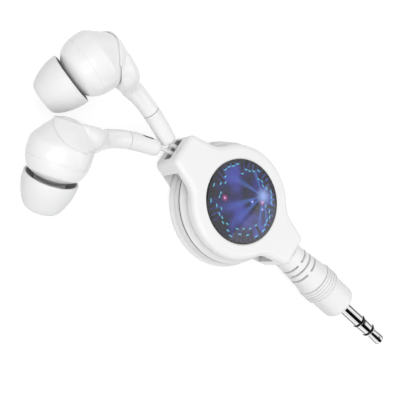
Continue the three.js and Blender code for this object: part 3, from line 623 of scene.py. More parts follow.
print_disc = spun("badge_print_disc", [(0, BADGE_SEAT), (BADGE_R, BADGE_SEAT), (BADGE_R, PRINT_TOP, 0.04),
                                       (0, PRINT_TOP)], 96)
shaded(print_disc)
dressed(print_disc, "reel", "badge_ink", "badge_print")
dome = [(r, DOME_TOP - DOME_DROP * (r / BADGE_R) ** ROLL)
        for r in (9.0, 8.8, 8.5, 8.1, 7.6, 7, 6.3, 5.5, 4.6, 3.6, 2.5, 1.3)]
resin_dome = spun("badge_resin_dome", [(0, 8.76), (BADGE_R - 0.05, 8.76), (BADGE_R, 8.8),
                                       (BADGE_R, 8.98, 0.12), *dome, (0, DOME_TOP)], 128)
shaded(resin_dome, 30)
dressed(resin_dome, "reel", "badge_resin", "badge_lens")

# %% [markdown]
# The strain relief is soft and slotted so that it can bend. It is drawn with a point every few
# tenths of a millimetre along its length, since only a mesh with rings to spare bends smoothly.
# Three rows of slots are cut, two slots to a row, each row turned a quarter from the last. The
# cutters are short spins of a small rectangle.

# %% Strain relief
RELIEF_BORE = 0.8
RELIEF_BACK = 18.36
RELIEF_FRONT = 28.2
SLOT_ARC = 164


def eased_run(points, spacing):
    run = []
    for (r0, x0), (r1, x1) in zip(points, points[1:]):
        steps = max(1, round(math.hypot(r1 - r0, x1 - x0) / spacing))
        run += [(r0 + (r1 - r0) * k / steps, x0 + (x1 - x0) * k / steps) for k in range(steps)]
    return run + [points[-1]]


relief_outside = flowing([(3.35, 18.8), (3.42, 20.4), (3.56, 22.2), (3.72, 24.0), (3.86, 25.5), (4.05, 27.2),
                          (4.2, 28.1)], 4)
relief_bore = eased_run([(RELIEF_BORE, RELIEF_FRONT), (RELIEF_BORE, RELIEF_BACK)], 0.4)
strain_relief = spun("strain_relief_moulding", [*relief_bore, (2.95, RELIEF_BACK), (3.23, 18.48),
                                                *relief_outside, (4.12, RELIEF_FRONT)], 72)
settled(strain_relief, ON_PLUG_AXIS)
for row, x in enumerate((21.1, 22.7, 24.3)):
    for half in (0, 180):
        start = 28 + 90 * (row % 2) + half
        slot = swept("slot", [(1.3, x - 0.25, 0.1), (6, x - 0.25), (6, x + 0.25), (1.3, x + 0.25, 0.1)],
                     start, start + SLOT_ARC, 20)
        cut_by(strain_relief, settled(slot, ON_PLUG_AXIS))
broken_edges(strain_relief, 0.06, 50, 1)
shaded(cleaned(strain_relief))
dressed(strain_relief, None, "soft_white", "strain_relief")
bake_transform(strain_relief)

# %% [markdown]
# The plug's grip is turned from one profile: a band of four fine grooves, then a plain barrel
# with a round front. A shallow counterbore in the front holds the jack's flange. The jack itself
# is polished metal in three parts, kept apart by two black rings. Its tip has the necked bulb
# that a socket's spring snaps into, so that profile is run as a smooth curve.

# %% Plug grip
GRIP_FRONT = 38.2
GRIP_R = 4.1
BAND_R = 4.45
GROOVE_PITCH = 0.76

grip_profile = [(0.8, 28.35), (4.2, 28.35, 0.1), (4.42, 28.5, 0.08)]
for k in range(4):
    x = 28.72 + GROOVE_PITCH * k
    grip_profile += [(BAND_R, x, 0.05), (GRIP_R, x + 0.05, 0.04), (GRIP_R, x + 0.3, 0.04),
                     (BAND_R, x + 0.35, 0.05)]
grip_profile += [(BAND_R, 31.55, 0.15), (GRIP_R, 31.85, 0.1), (GRIP_R, GRIP_FRONT, 1.2),
                 (2.3, GRIP_FRONT, 0.05), (2.3, GRIP_FRONT - 0.65), (1.9, GRIP_FRONT - 0.65), (1.9, 33.1),
                 (0.8, 33.1)]
plug_grip = spun("plug_grip_moulding", grip_profile, 96, 7)
shaded(settled(plug_grip, ON_PLUG_AXIS))
dressed(plug_grip, "plug", "soft_white", "plug_grip")


# %% Jack contacts and insulators
JACK_R = 1.75


def jack_part(name, profile, slot, node):
    piece = spun(name, profile, 64)
    shaded(settled(piece, ON_PLUG_AXIS), 40)
    return dressed(piece, "plug", slot, node)


jack_part("jack_sleeve", [(1.25, 33.3), (JACK_R, 33.3, 0.1), (JACK_R, GRIP_FRONT - 0.6),
                          (2.2, GRIP_FRONT - 0.55, 0.08), (2.2, GRIP_FRONT - 0.1, 0.08),
                          (JACK_R, GRIP_FRONT, 0.04), (JACK_R, 44.7, 0.06), (1.25, 44.7)],
          "contact_plating", "plug_sleeve_contact")
jack_part("jack_ring", [(0.8, 45.3), (JACK_R, 45.3, 0.06), (JACK_R, 48.3, 0.06), (0.8, 48.3)],
          "contact_plating", "plug_ring_contact")
tip_curve = flowing([(1.6, 49.2), (1.38, 49.4), (1.37, 49.8), (1.41, 50.7), (1.47, 51.7), (1.52, 52.5),
                     (1.47, 52.95), (1.22, 53.35), (0.8, 53.6), (0.35, 53.68)], 3)
jack_part("jack_tip", [(0, 33.5), (0.35, 33.5), (0.35, 48.9), (JACK_R, 48.9, 0.05), (JACK_R, 49.1),
                       *tip_curve, (0, 53.7)], "contact_plating", "plug_tip_contact")
for name, at, bore, tube, back, node in (("rear", 44.7, 0.95, 1.1, 3, "plug_rear_insulator"),
                                         ("front", 48.3, 0.5, 0.65, 2.5, "plug_front_insulator")):
    jack_part("jack_insulator_" + name, [(bore, at - back), (tube, at - back), (tube, at + 0.01),
                                         (1.72, at + 0.01, 0.05), (1.72, at + 0.59, 0.05), (bore, at + 0.59)],
              "insulator_black", node)

# %% [markdown]
# Both earbuds are the same, so each of their pieces is modelled once, in the earbud's own frame:
# the lead enters at its origin and the stem runs along +X. A copy with its own mesh is then
# placed for each ear. The barrel looks one way and the nozzle a little another, as ears need.

# %% Earbud frame
EAR_CENTRE = Vector((23.9, 1.48, 4.9))


def heading(yaw, pitch):
    y, p = math.radians(yaw), math.radians(pitch)
    return Vector((math.cos(y) * math.cos(p), math.sin(y) * math.cos(p), math.sin(p)))


NOZZLE_WAY = heading(80.6, -31)
BARREL_WAY = heading(76, -18)


def aimed(piece, way):
    turn = Vector((0, 0, 1)).rotation_difference(way).to_matrix().to_4x4()
    return settled(piece, Matrix.Translation(EAR_CENTRE * MM) @ turn)


def for_one_ear(side, piece, body_end, slot, node_end):
    (x, y), angle = LEAD_ENDS[side]
    place = Matrix.Translation(Vector((x, y, AXIS_Z)) * MM) @ Matrix.Rotation(math.radians(angle), 4, "Z")
    piece.name = piece.data.name = side + "_" + piece.name
    return dressed(settled(piece, place), side + body_end, slot, side + node_end)


def for_both_ears(piece, body_end, slot, node_end):
    name = piece.name
    twin = put_in_scene(name, piece.data.copy())
    for_one_ear("left", piece, body_end, slot, node_end)
    twin.name = name
    for_one_ear("right", twin, body_end, slot, node_end)


print("nozzle and barrel differ by", round(math.degrees(NOZZLE_WAY.angle(BARREL_WAY)), 1), "degrees")

# %% [markdown]
# The nozzle and the inside of the tip have a darker second tone of painted shade, since little
# light gets in there. The distance from the nozzle's axis, the height along it and whether a face
# looks away from that axis tell such faces apart.

# %% Painted shade round the nozzle
def shade_painted_by_nozzle(piece, chosen):
    def by_nozzle(at, normal):
        from_ear = at - EAR_CENTRE
        height = from_ear.dot(NOZZLE_WAY)
        sideways = from_ear - NOZZLE_WAY * height
        return chosen(sideways.length, height, normal.dot(sideways.normalized()))

    return painted_shade_on(piece, by_nozzle)


# %% [markdown]
# The barrel is two mouldings glued at a seam, which shows as a hairline groove. Behind the seam it
# narrows in a cone towards the petal, and its front is a low dome. It is spun, the nozzle is spun
# on its own axis and fused to it, and the hollow, the bore and the rear opening are cut last, so
# that the shell keeps a real wall.

# %% Barrel with nozzle
def barrel_profile(grow=0.0):
    side = flowing([(2.6, -5.6), (3.0, -5.4), (3.6, -4.72), (4.2, -4.02), (5.15, -2.8), (5.85, -1.85),
                    (6.25, -1.1), (6.33, -0.3), (6.33, 1.0), (6.14, 2.4), (5.75, 3.5), (5.34, 4.25),
                    (5.0, 4.7), (4.45, 5.08), (3.4, 5.6), (2.2, 5.97)], 5)
    return [(r + grow * min(1, r / 6), z - 0.7 * grow * min(max((-1 - z) / 3, 0), 1)) for r, z in side]


def barrel_shell():
    side = barrel_profile()
    seam = next(i for i, (r, z) in enumerate(side) if z > 1.9)
    r, z = side[seam]
    groove = ((0.01, -0.09), (-0.07, -0.03), (-0.07, 0.03), (-0.01, 0.09))
    side[seam:seam + 1] = [(r + out, z + on) for out, on in groove]
    shell = aimed(spun("barrel_shell", [(0, -5.7), *side, (0, 6.1)], 96), BARREL_WAY)
    fused(shell, aimed(spun("nozzle", [(0, 0), (3.0, 0), (3.0, 5.6), (2.4, 6.5, 0.5), (2.4, 10.6, 0.15),
                                       (0, 10.6)], 64), NOZZLE_WAY))
    cut_by(shell, aimed(spun("hollow", [(0, -3.7), (3.6, -3.45), (5.5, -0.6), (5.5, 1), (4.9, 3.2),
                                        (4.3, 3.8), (0, 3.8)], 64), BARREL_WAY))
    cut_by(shell, aimed(spun("bore", [(0, 2.2), (1.6, 2.2), (1.6, 12), (0, 12)], 48), NOZZLE_WAY))
    cut_by(shell, aimed(spun("rear_opening", [(0, -9), (2.3, -9), (2.3, 0), (0, 0)], 48), BARREL_WAY))
    shaded(cleaned(shell), 32)
    # The nozzle in front of the barrel gets painted shade.
    return shade_painted_by_nozzle(shell, lambda reach, height, out: height > 5.35 and reach < 3.05)


for_both_ears(barrel_shell(), "_earbud", "gloss_white_abs", "_body_shell")

# %% [markdown]
# The silicone tip is rolled over at its front: a sleeve grips the nozzle and a thin skirt comes
# back over it. One closed profile gives both, and the outer side is run as a smooth curve so that
# it swells and narrows without a break.

# %% Ear tips
tip_outside = flowing([(5.44, 5.75), (5.38, 7.1), (5.02, 8.9), (4.36, 10.7), (3.72, 11.85), (3.2, 12.4)], 5)
tip_inside = flowing([(3.25, 10.9), (3.75, 10.45), (4.3, 8.8), (4.72, 7.1), (4.95, 5.75)], 4)
ear_tip = spun("silicone_tip", [(2.55, 6.2), (3.15, 6.2, 0.15), *tip_inside, (5.02, 5.6), (5.36, 5.6),
                                *tip_outside, (2.95, 12.5), (2.05, 12.5, 0.15), (2.05, 10.75),
                                (2.55, 10.75)], 96)
shaded(aimed(ear_tip, NOZZLE_WAY), 50, flat_faces=False)
# The tip's inner sleeve and inner side get painted shade.
shade_painted_by_nozzle(ear_tip, lambda reach, height, out: height < 12.2 and (reach < 3.3 or out < -0.2))
for_both_ears(ear_tip, "_tip", "silicone_white", "_ear_tip")

# %% [markdown]
# The stem is a tube whose section changes all along: round where the lead enters, flatter and
# turned on edge where it reaches the barrel. Circles are set at stations along one smooth line,
# each scaled to its half width and half thickness, and bridged into a skin, like ribs and canvas.
# A row of STEM is a station: its place, then those two halves.

# %% Stem line and ribs
STEM = [(0, 0, 0, 1.5, 1.5), (0.7, -0.15, 0.1, 1.75, 1.7), (3.6, -0.8, 0.5, 1.85, 1.75),
        (7.4, -1.4, 1.1, 1.9, 1.8), (11.5, -1.4, 2.2, 1.95, 1.7), (15.0, -0.8, 3.6, 2.3, 1.85),
        (17.6, -0.3, 5.9, 3.2, 2.5), (20.3, -1.0, 7.0, 3.0, 2.2), (22.4, -2.2, 7.2, 1.9, 0.8)]
stem_line = [Vector(p) for p in flowing(STEM, 12)]
stem_reach = [0.0]
for here, there in zip(stem_line, stem_line[1:]):
    stem_reach.append(stem_reach[-1] + (Vector(there[:3]) - Vector(here[:3])).length)


def rib(distance, share=1.0):
    k = max(i for i, reach in enumerate(stem_reach[:-1]) if reach <= distance + 1e-9)
    t = (distance - stem_reach[k]) / (stem_reach[k + 1] - stem_reach[k])
    here = stem_line[k].lerp(stem_line[k + 1], t)
    centre = Vector(here[:3])
    way = (Vector(stem_line[k + 1][:3]) - Vector(stem_line[k][:3])).normalized()
    s = min(max((centre.x - 7) / 13, 0), 1)
    tilt = s * s * (3 - 2 * s) * math.radians(62)
    level = way.cross(Vector((0, 0, 1))).normalized()
    across = level * math.cos(tilt) + level.cross(way) * math.sin(tilt)
    through = way.cross(across)
    place = Matrix((across * here[3] * share, through * here[4] * share, way)).transposed().to_4x4()
    place.translation = centre * MM
    nothing_selected()
    bpy.ops.mesh.primitive_circle_add(vertices=40, radius=MM)
    return settled(named("rib"), place)


def ribbed_skin(name, ribs):
    nothing_selected()
    for one in ribs:
        one.select_set(True)
    bpy.context.view_layer.objects.active = ribs[0]
    bpy.ops.object.join()
    piece = named(name)
    bpy.ops.object.mode_set(mode="EDIT")
    bpy.ops.mesh.select_all(action="SELECT")
    bpy.ops.mesh.bridge_edge_loops()
    bpy.ops.mesh.select_all(action="SELECT")
    bpy.ops.mesh.fill_holes(sides=0)
    turned_out()
    return piece


print("stem line", round(stem_reach[-1], 2), "mm long")

# %% [markdown]
# A seam parts the stem's soft sleeve from the hard arm. The sleeve's ends are rounded by three
# close ribs of growing size, and its bore is cut along the stem's own line. The right ear's
# sleeve also has a short slit on top, which tells the two ears apart by touch.

# %% Stem sleeve
SEAM_AT = 7.6


def stem_bore(count):
    points = [(-1.2, 0.4, -0.15)] + [p[:3] for p in STEM[:count]]
    return laid_cable("stem_bore", flowing(points, 6), 0.7)


sleeve_ribs = [rib(0, 0.86), rib(0.1, 0.95), rib(0.3), *[rib(0.3 + 0.56 * k) for k in range(1, 13)],
               rib(7.3), rib(7.5), rib(SEAM_AT, 0.95)]
stem_sleeve = cut_by(ribbed_skin("soft_sleeve", sleeve_ribs), stem_bore(6))
shaded(stem_sleeve, 40)
right_sleeve = put_in_scene("soft_sleeve", stem_sleeve.data.copy())
for_one_ear("left", stem_sleeve, "_earbud", "soft_white", "_stem_sleeve")

# %% Slit in the right sleeve
ALONG_STEM = Vector((0.967, -0.217, 0.133))
OUT_OF_STEM = Vector((-0.251, -0.719, 0.648))
slit_place = Matrix((ALONG_STEM, OUT_OF_STEM.cross(ALONG_STEM), OUT_OF_STEM)).transposed().to_4x4()
slit_place.translation = Vector((2.83, -2.0, 1.6)) * MM
cut_by(right_sleeve, settled(block("slit", (-1.1, 1.1), (-0.17, 0.17), (-0.6, 0.6)), slit_place))


def in_slit(at, normal):
    from_slit = slit_place.inverted() @ (at * MM) / MM
    return abs(from_slit.x) < 1.15 and abs(from_slit.y) < 0.19 and from_slit.z > -0.65


# The slit's faces get painted shade, as light hardly reaches its floor.
painted_shade_on(right_sleeve, in_slit)
right_sleeve.name = "soft_sleeve"
for_one_ear("right", shaded(right_sleeve, 40), "_earbud", "soft_white", "_stem_sleeve")

# %% [markdown]
# The arm swells into a petal that clasps the barrel's back and comes forward on one side like a
# leaf, mirrored from ear to ear. The petal starts as the barrel's own profile grown by its wall,
# kept only inside a leaf outline that is pulled through it like a pastry cutter. A low dome
# closes the back and the arm is bridged ribs; all are fused and the barrel's room is cut from
# them. A voxel remesh then makes one even skin, and smoothing melts the joint between arm and
# leaf, as a polished mould would.

# %% Petal arm
def barrel_block(name, grow, rear, steps):
    return aimed(spun(name, [(0, -5.7 - rear), *barrel_profile(grow), (0, 6.1)], steps), BARREL_WAY)


LEAF_EDGE = [(-3.6, -7.2), (-3.1, -5.9), (-2.0, -4.15), (0.2, -2.4), (2.8, -1.5), (5.2, -1.2), (7.6, -1.3),
             (9.5, -1.9)]
LEAF_DEPTH = 18
VOXEL = 0.1
TO_STEM = (Vector((-1, 0, 0)) + BARREL_WAY * BARREL_WAY.x).normalized()


def leaf_cutter(lean):
    ring = flowing(LEAF_EDGE, 5) + [(9.5, -9), (-3.6, -9)]
    piece = pulled_block("leaf_cutter", [(s, -LEAF_DEPTH / 2, w) for s, w in ring], (0, LEAF_DEPTH, 0))
    across = Matrix.Rotation(math.radians(lean), 3, BARREL_WAY) @ TO_STEM
    place = Matrix((across, BARREL_WAY.cross(across), BARREL_WAY)).transposed().to_4x4()
    place.translation = EAR_CENTRE * MM
    return settled(piece, place)


def clasping_petal(lean):
    petal = cut_by(barrel_block("clasping_petal", 0.42, 0.3, 72), leaf_cutter(lean), "INTERSECT")
    dome_back = flowing([(0, -6.35), (1.0, -6.3), (1.9, -6.1), (2.6, -5.75)], 4)
    fused(petal, aimed(spun("back_dome", [*dome_back, (2.45, -5.1), (0, -5.1)], 64), BARREL_WAY))
    start, end = SEAM_AT + 0.15, stem_reach[-1]
    arm_ribs = [rib(start, 0.95), rib(start + 0.1), rib(start + 0.3)]
    arm_ribs += [rib(start + 0.3 + (end - 0.35 - start) * k / 22) for k in range(1, 23)]
    fused(petal, ribbed_skin("arm", arm_ribs))
    cut_by(petal, barrel_block("barrel_room", 0.06, 0.1, 80))
    cut_by(petal, stem_bore(7))
    return finished_with(petal, "REMESH", mode="VOXEL", voxel_size=VOXEL * MM)


def melted(petal):
    finished_with(petal, "SMOOTH", factor=0.5, iterations=5)
    only(petal)
    for vertex in petal.data.vertices:
        from_barrel = vertex.co / MM - EAR_CENTRE
        vertex.select = 2.6 < from_barrel.dot(TO_STEM) < 9 and from_barrel.dot(BARREL_WAY) < -0.6
    bpy.ops.object.mode_set(mode="EDIT")
    bpy.ops.mesh.vertices_smooth(factor=0.5, repeat=400)
    bpy.ops.object.mode_set(mode="OBJECT")
    return shaded(petal, 60, flat_faces=False)


for side, lean in (("left", -33), ("right", 33)):
    for_one_ear(side, melted(clasping_petal(lean)), "_earbud", "gloss_white_abs", "_petal_arm")

# %% [markdown]
# Every finish below is worked out in nodes on Object coordinates, so that a pattern stays put
# when its piece moves. Colours are written as sRGB hex, as they would be picked from a sample
# card, and one function turns them to the linear values that light is reckoned in. One helper
# adds a node with its settings, its values and its links, and hands back the output that the
# next node needs.

# %% Material helpers
def linear(colour):
    parts = [int(colour[i:i + 2], 16) / 255 for i in (1, 3, 5)]
    return (*[c / 12.92 if c <= 0.04045 else ((c + 0.055) / 1.055) ** 2.4 for c in parts], 1)


def added(tree, kind, inputs=None, out=0, **settings):
    node = tree.nodes.new("ShaderNode" + kind)
    for key, value in settings.items():
        setattr(node, key, value)
    for socket, value in (inputs or {}).items():
        if isinstance(value, bpy.types.NodeSocket):
            tree.links.new(value, node.inputs[socket])
        else:
            node.inputs[socket].default_value = value
    return node.outputs[out] if node.outputs else node


def started(name):
    material = bpy.data.materials.new(name)
    material.use_nodes = True
    tree = material.node_tree
    tree.nodes.clear()
    return material, tree, added(tree, "TexCoord", out="Object")


def per(size_mm):
    return 1 / (size_mm * MM)


def wave_scale(spacing_mm):
    return per(spacing_mm) * math.pi / 10


print("linear white card:", [round(c, 3) for c in linear("#F2F2F0")])

# %% [markdown]
# Nearly everything here is a moulded polymer, and moulded polymers share a build-up. The colour
# drifts a little where the melt flowed. The roughness varies with handling. The surface has a
# fine grain from the mould's steel and, on glossy parts, a long shallow wave where the wall
# sank as it cooled. Only the sizes, depths and colours differ from one polymer to the next. The
# drift and the handling come first, because the metals have them too.

# %% Colour drift and handling
def surfaced(tree, tones, sheens, bump, constants):
    # Each of the two is a pattern from 0 to 1 and what it moves between or about.
    drifting, colour, drift = tones
    touched, roughness, spread = sheens
    tone = added(tree, "Mix", {"Factor": drifting, 6: linear(colour), 7: linear(drift)}, 2, data_type="RGBA")
    sheen = added(tree, "MapRange", {"Value": touched, "From Min": 0.3, "From Max": 0.7,
                                     "To Min": roughness - spread, "To Max": roughness + spread})
    shader = added(tree, "BsdfPrincipled", {"Base Color": tone, "Roughness": sheen, "Normal": bump,
                                            **constants})
    added(tree, "OutputMaterial", {"Surface": shader})


# %% Moulded polymers
def moulded(name, colour, drift, roughness, spread, grain_mm, grain_depth, wave_mm, wave_depth, **constants):
    material, tree, place = started(name)
    flow = added(tree, "TexNoise", {"Vector": place, "Scale": per(7), "Detail": 2.0}, "Fac")
    touch = added(tree, "TexNoise", {"Vector": place, "Scale": per(1.6), "Detail": 4.0}, "Fac")
    wave = added(tree, "TexNoise", {"Vector": place, "Scale": per(wave_mm), "Detail": 0.0}, "Fac")
    steel = added(tree, "TexNoise", {"Vector": place, "Scale": per(grain_mm), "Detail": 3.0}, "Fac")
    sink = added(tree, "Bump", {"Height": wave, "Strength": 1.0, "Distance": wave_depth * MM})
    grain = added(tree, "Bump", {"Height": steel, "Normal": sink, "Strength": 1.0,
                                 "Distance": grain_depth * MM})
    sockets = {key.replace("_", " "): value for key, value in constants.items()}
    surfaced(tree, (flow, colour, drift), (touch, roughness, spread), grain, sockets)
    return material


finishes = {
    # Polished mould: clear reflections with slightly soft, wavy edges.
    "gloss_white_abs": moulded("ABS, moulded in a polished tool", "#F2F2F2", "#EFEFEF", 0.16, 0.03,
                               0.15, 0.0004, 2.5, 0.006, IOR=1.53),
    # Spark-eroded mould: broad soft highlights and a grain that is felt more than seen.
    "soft_white": moulded("TPE, moulded in a spark-eroded tool", "#F1F1F1", "#ECECEC", 0.42, 0.05,
                          0.12, 0.003, 3.0, 0.004, IOR=1.5),
    # Silicone lets a little light in, so its thin skirt glows instead of going grey.
    "silicone_white": moulded("Silicone, compression moulded", "#EFEFEF", "#E9E9E9", 0.4, 0.05,
                              0.1, 0.0015, 2.0, 0.004, IOR=1.42, Subsurface_Weight=0.25,
                              Subsurface_Radius=(0.0010, 0.0009, 0.0008), Subsurface_Scale=1.0),
    # Extruded jacket: a dull skin with fine streaks from the die.
    "cable_jacket": moulded("TPE cable jacket, extruded", "#ECECEC", "#E4E4E4", 0.45, 0.06,
                            0.09, 0.002, 1.2, 0.004, IOR=1.5),
    # Plain moulding inside the case, never polished.
    "spool_white": moulded("Polystyrene, moulded", "#EEEEEE", "#E7E7E7", 0.38, 0.06,
                           0.2, 0.002, 2.0, 0.005, IOR=1.59),
    # Hard black ring between the contacts, cut flush with them.
    "insulator_black": moulded("Nylon, moulded black", "#060607", "#0C0C0D", 0.55, 0.05,
                               0.08, 0.001, 1.0, 0.002, IOR=1.53, Specular_IOR_Level=0.15),
    # Thin film with a warm tint, drawn into a dome.
    "film_amber": moulded("PET film, thermoformed", "#B98A4A", "#A5773B", 0.25, 0.05,
                          0.3, 0.001, 0.8, 0.01, IOR=1.57),
}
print("polymers:", *finishes)

# %% [markdown]
# The metals are a plated jack, a steel spindle with its screw, an oiled spring and a magnet. A
# lathe leaves rings round the work. They are far finer than the eye can part, so they are drawn
# a tenth of a millimetre apart, just deep enough to soften reflections along the rings.

# %% Metals
def metal(name, colour, drift, roughness, spread, ring_axis, ring_mm, ring_depth):
    material, tree, place = started(name)
    haze = added(tree, "TexNoise", {"Vector": place, "Scale": per(0.9), "Detail": 4.0}, "Fac")
    lathe = added(tree, "TexWave", {"Vector": place, "Scale": wave_scale(ring_mm), "Distortion": 0.6,
                                    "Detail": 1.0}, "Fac", bands_direction=ring_axis)
    rings = added(tree, "Bump", {"Height": lathe, "Strength": 1.0, "Distance": ring_depth * MM})
    surfaced(tree, (haze, colour, drift), (haze, roughness, spread), rings, {"Metallic": 1.0})
    return material


finishes.update({
    # Bright plating: mirror-like, so it shows the room in long stripes.
    "contact_plating": metal("Nickel, plated on polished brass", "#EDEDEE", "#E4E4E6", 0.07, 0.02,
                             "X", 0.1, 0.0001),
    # Turned steel: a duller mirror with a fan of light round the axis.
    "spindle_steel": metal("Steel, turned", "#C6C6C8", "#B9B9BB", 0.25, 0.05, "Z", 0.1, 0.0006),
    # Oiled strip: darker, slightly blue, with a hazy shine.
    "spring_steel": metal("Spring steel, rolled and oiled", "#A9ABB2", "#8E9098", 0.3, 0.07,
                          "Z", 0.2, 0.0006),
    # Plated magnet: grey and soft, as nickel on a pressed powder is.
    "magnet_dark": metal("Neodymium magnet, nickel plated", "#8E8E92", "#7A7A7E", 0.3, 0.06,
                         "X", 0.2, 0.0005),
})
print("finishes so far:", len(finishes))

# %% [markdown]
# The badge print is a generic night-club scene: a ring of sound-level bars round a stage lamp
# whose beams fan out over a blue hall, with small glowing spots. Each step below makes one of
# these as a number from 0 to 1 all over the disc, and the last step lays ink over ink by those
# numbers, as a printer would. First the bars: each is one slice of the circle, and a random
# number per slice gives its length.

# %% Sound-level bars
BAR_COUNT = 44.0
PRINT_RIM = 8.55
SMOOTH = {"interpolation_type": "SMOOTHSTEP"}


def sound_bars(tree, mm, reach):
    turn = added(tree, "TexGradient", {"Vector": mm}, "Fac", gradient_type="RADIAL")
    slices = added(tree, "Math", {0: turn, 1: BAR_COUNT}, operation="MULTIPLY")
    number = added(tree, "Math", {0: slices}, operation="FLOOR")
    chance = added(tree, "TexWhiteNoise", {"W": number}, "Value", noise_dimensions="1D")
    foot = added(tree, "MapRange", {"Value": chance, "To Min": PRINT_RIM - 0.6,
                                    "To Max": PRINT_RIM - 2.9}, **SMOOTH)
    inwards = added(tree, "Math", {0: reach, 1: foot}, operation="SUBTRACT")
    past_foot = added(tree, "MapRange", {"Value": inwards, "From Max": 0.05}, **SMOOTH)
    in_slice = added(tree, "Math", {0: slices}, operation="FRACT")
    in_bar = added(tree, "Math", {0: in_slice, 1: 0.5, 2: 0.34}, operation="COMPARE")
    bar = added(tree, "Math", {0: past_foot, 1: in_bar}, operation="MULTIPLY")
    near_foot = added(tree, "MapRange", {"Value": inwards, "From Min": 0.2, "From Max": 0.36,
                                         "To Min": 1, "To Max": 0}, **SMOOTH)
    return bar, added(tree, "Math", {0: bar, 1: near_foot}, operation="MULTIPLY")


print("bars:", int(BAR_COUNT), "slices inside a rim of", PRINT_RIM, "mm")

# %% [markdown]
# The hall is a slow cloud of dark blues. The beams are slices round the lamp; half of them, by
# chance, stay unlit, and all of them fade with the distance that the light has gone.

# %% Hall and beams
LAMP_PLACE = (3.4, 4.2, 0)
BEAM_COUNT = 17.0


def dark_hall(tree, mm):
    haze = added(tree, "TexNoise", {"Vector": mm, "Scale": 0.17, "Detail": 2.0, "Roughness": 0.45}, "Fac")
    hall = added(tree, "ValToRGB", {"Fac": haze}, "Color")
    ramp = hall.node.color_ramp.elements
    ramp[0].position = 0.38
    ramp[0].color = linear("#04030F")
    ramp[1].position = 0.64
    ramp[1].color = linear("#3B3F9C")
    ramp.new(0.5).color = linear("#1C1A5C")
    return hall


def lamp_beams(tree, from_lamp, throw):
    fan = added(tree, "TexGradient", {"Vector": from_lamp}, "Fac", gradient_type="RADIAL")
    slices = added(tree, "Math", {0: fan, 1: BEAM_COUNT}, operation="MULTIPLY")
    number = added(tree, "Math", {0: slices}, operation="FLOOR")
    chance = added(tree, "TexWhiteNoise", {"W": number}, "Value", noise_dimensions="1D")
    lit = added(tree, "Math", {0: chance, 1: 0.5}, operation="GREATER_THAN")
    from_edge = added(tree, "Math", {0: slices, 1: 0.5}, operation="PINGPONG")
    shape = added(tree, "MapRange", {"Value": from_edge, "From Min": 0.1, "From Max": 0.45}, **SMOOTH)
    fade = added(tree, "MapRange", {"Value": throw, "From Min": 1.0, "From Max": 11, "To Min": 0.55,
                                    "To Max": 0.05}, **SMOOTH)
    beam = added(tree, "Math", {0: shape, 1: lit}, operation="MULTIPLY")
    return added(tree, "Math", {0: beam, 1: fade}, operation="MULTIPLY")


print("beams:", int(BEAM_COUNT), "slices round a lamp", LAMP_PLACE[:2], "mm from the middle")

# %% [markdown]
# The glowing spots sit in the cells of a Voronoi pattern. Each cell has a chance colour of its
# own: its first part says whether the spot shows at all, and its second part says which of two
# inks it is printed in. Spots near the bars are left out.

# %% Glowing spots
CELLS_PER_MM = 0.36


def glowing_spots(tree, mm, reach):
    distance = added(tree, "TexVoronoi", {"Vector": mm, "Scale": CELLS_PER_MM, "Randomness": 0.8},
                     "Distance", voronoi_dimensions="2D")
    chances = added(tree, "SeparateColor", {0: distance.node.outputs["Color"]}).node.outputs
    picked = added(tree, "Math", {0: chances[0], 1: 0.62}, operation="GREATER_THAN")
    clear = added(tree, "MapRange", {"Value": reach, "From Min": 5.0, "From Max": 6.2, "To Min": 1,
                                     "To Max": 0}, **SMOOTH)
    shown = added(tree, "Math", {0: picked, 1: clear}, operation="MULTIPLY")
    spots = []
    for start, end, strength in ((0, 0.34, 0.85), (0.02, 0.1, 0.95)):
        fade = added(tree, "MapRange", {"Value": distance, "From Min": start, "From Max": end,
                                        "To Min": strength, "To Max": 0}, **SMOOTH)
        spots.append(added(tree, "Math", {0: fade, 1: shown}, operation="MULTIPLY"))
    kind = added(tree, "MapRange", {"Value": chances[1], "From Min": 0.45, "From Max": 0.55}, **SMOOTH)
    hue = added(tree, "Mix", {"Factor": kind, 6: linear("#C2379A"), 7: linear("#3D6FE0")}, 2,
                data_type="RGBA")
    return *spots, hue


print("spots: one cell every", round(1 / CELLS_PER_MM, 1), "mm")

# %% [markdown]
# Now the inks go down in order, from the hall to the black edge of the disc. A fine dot screen
# gives the print its slight tooth under the resin.

# %% Badge print
def badge_print():
    material, tree, place = started("Screen print, gloss ink on film")
    mm = added(tree, "VectorMath", {0: place, 1: (1000, 1000, 0)}, operation="MULTIPLY")
    reach = added(tree, "VectorMath", {0: mm}, "Value", operation="LENGTH")
    from_lamp = added(tree, "VectorMath", {0: mm, 1: LAMP_PLACE}, operation="SUBTRACT")
    throw = added(tree, "VectorMath", {0: from_lamp}, "Value", operation="LENGTH")
    flare = added(tree, "MapRange", {"Value": throw, "From Max": 2.3, "To Min": 0.85, "To Max": 0}, **SMOOTH)
    edge = added(tree, "MapRange", {"Value": reach, "From Min": PRINT_RIM - 0.05,
                                    "From Max": PRINT_RIM + 0.05}, **SMOOTH)
    bar, bar_tip = sound_bars(tree, mm, reach)
    glow, core, hue = glowing_spots(tree, mm, reach)
    ink = dark_hall(tree, mm)
    for share, over in ((lamp_beams(tree, from_lamp, throw), linear("#4D7BD6")), (glow, hue),
                        (core, linear("#F3E6F5")), (flare, linear("#9DB8F5")), (bar, linear("#02020A")),
                        (bar_tip, linear("#5CC3DE")), (edge, linear("#020208"))):
        ink = added(tree, "Mix", {"Factor": share, 6: ink, 7: over}, 2, data_type="RGBA")
    screen = added(tree, "TexVoronoi", {"Vector": mm, "Scale": 9.0}, "Distance")
    dots = added(tree, "Bump", {"Height": screen, "Strength": 0.3, "Distance": 0.002 * MM})
    shader = added(tree, "BsdfPrincipled", {"Base Color": ink, "Normal": dots, "Roughness": 0.35})
    added(tree, "OutputMaterial", {"Surface": shader})
    return material


finishes["badge_ink"] = badge_print()
print("badge print drawn with", len(finishes["badge_ink"].node_tree.nodes), "nodes")

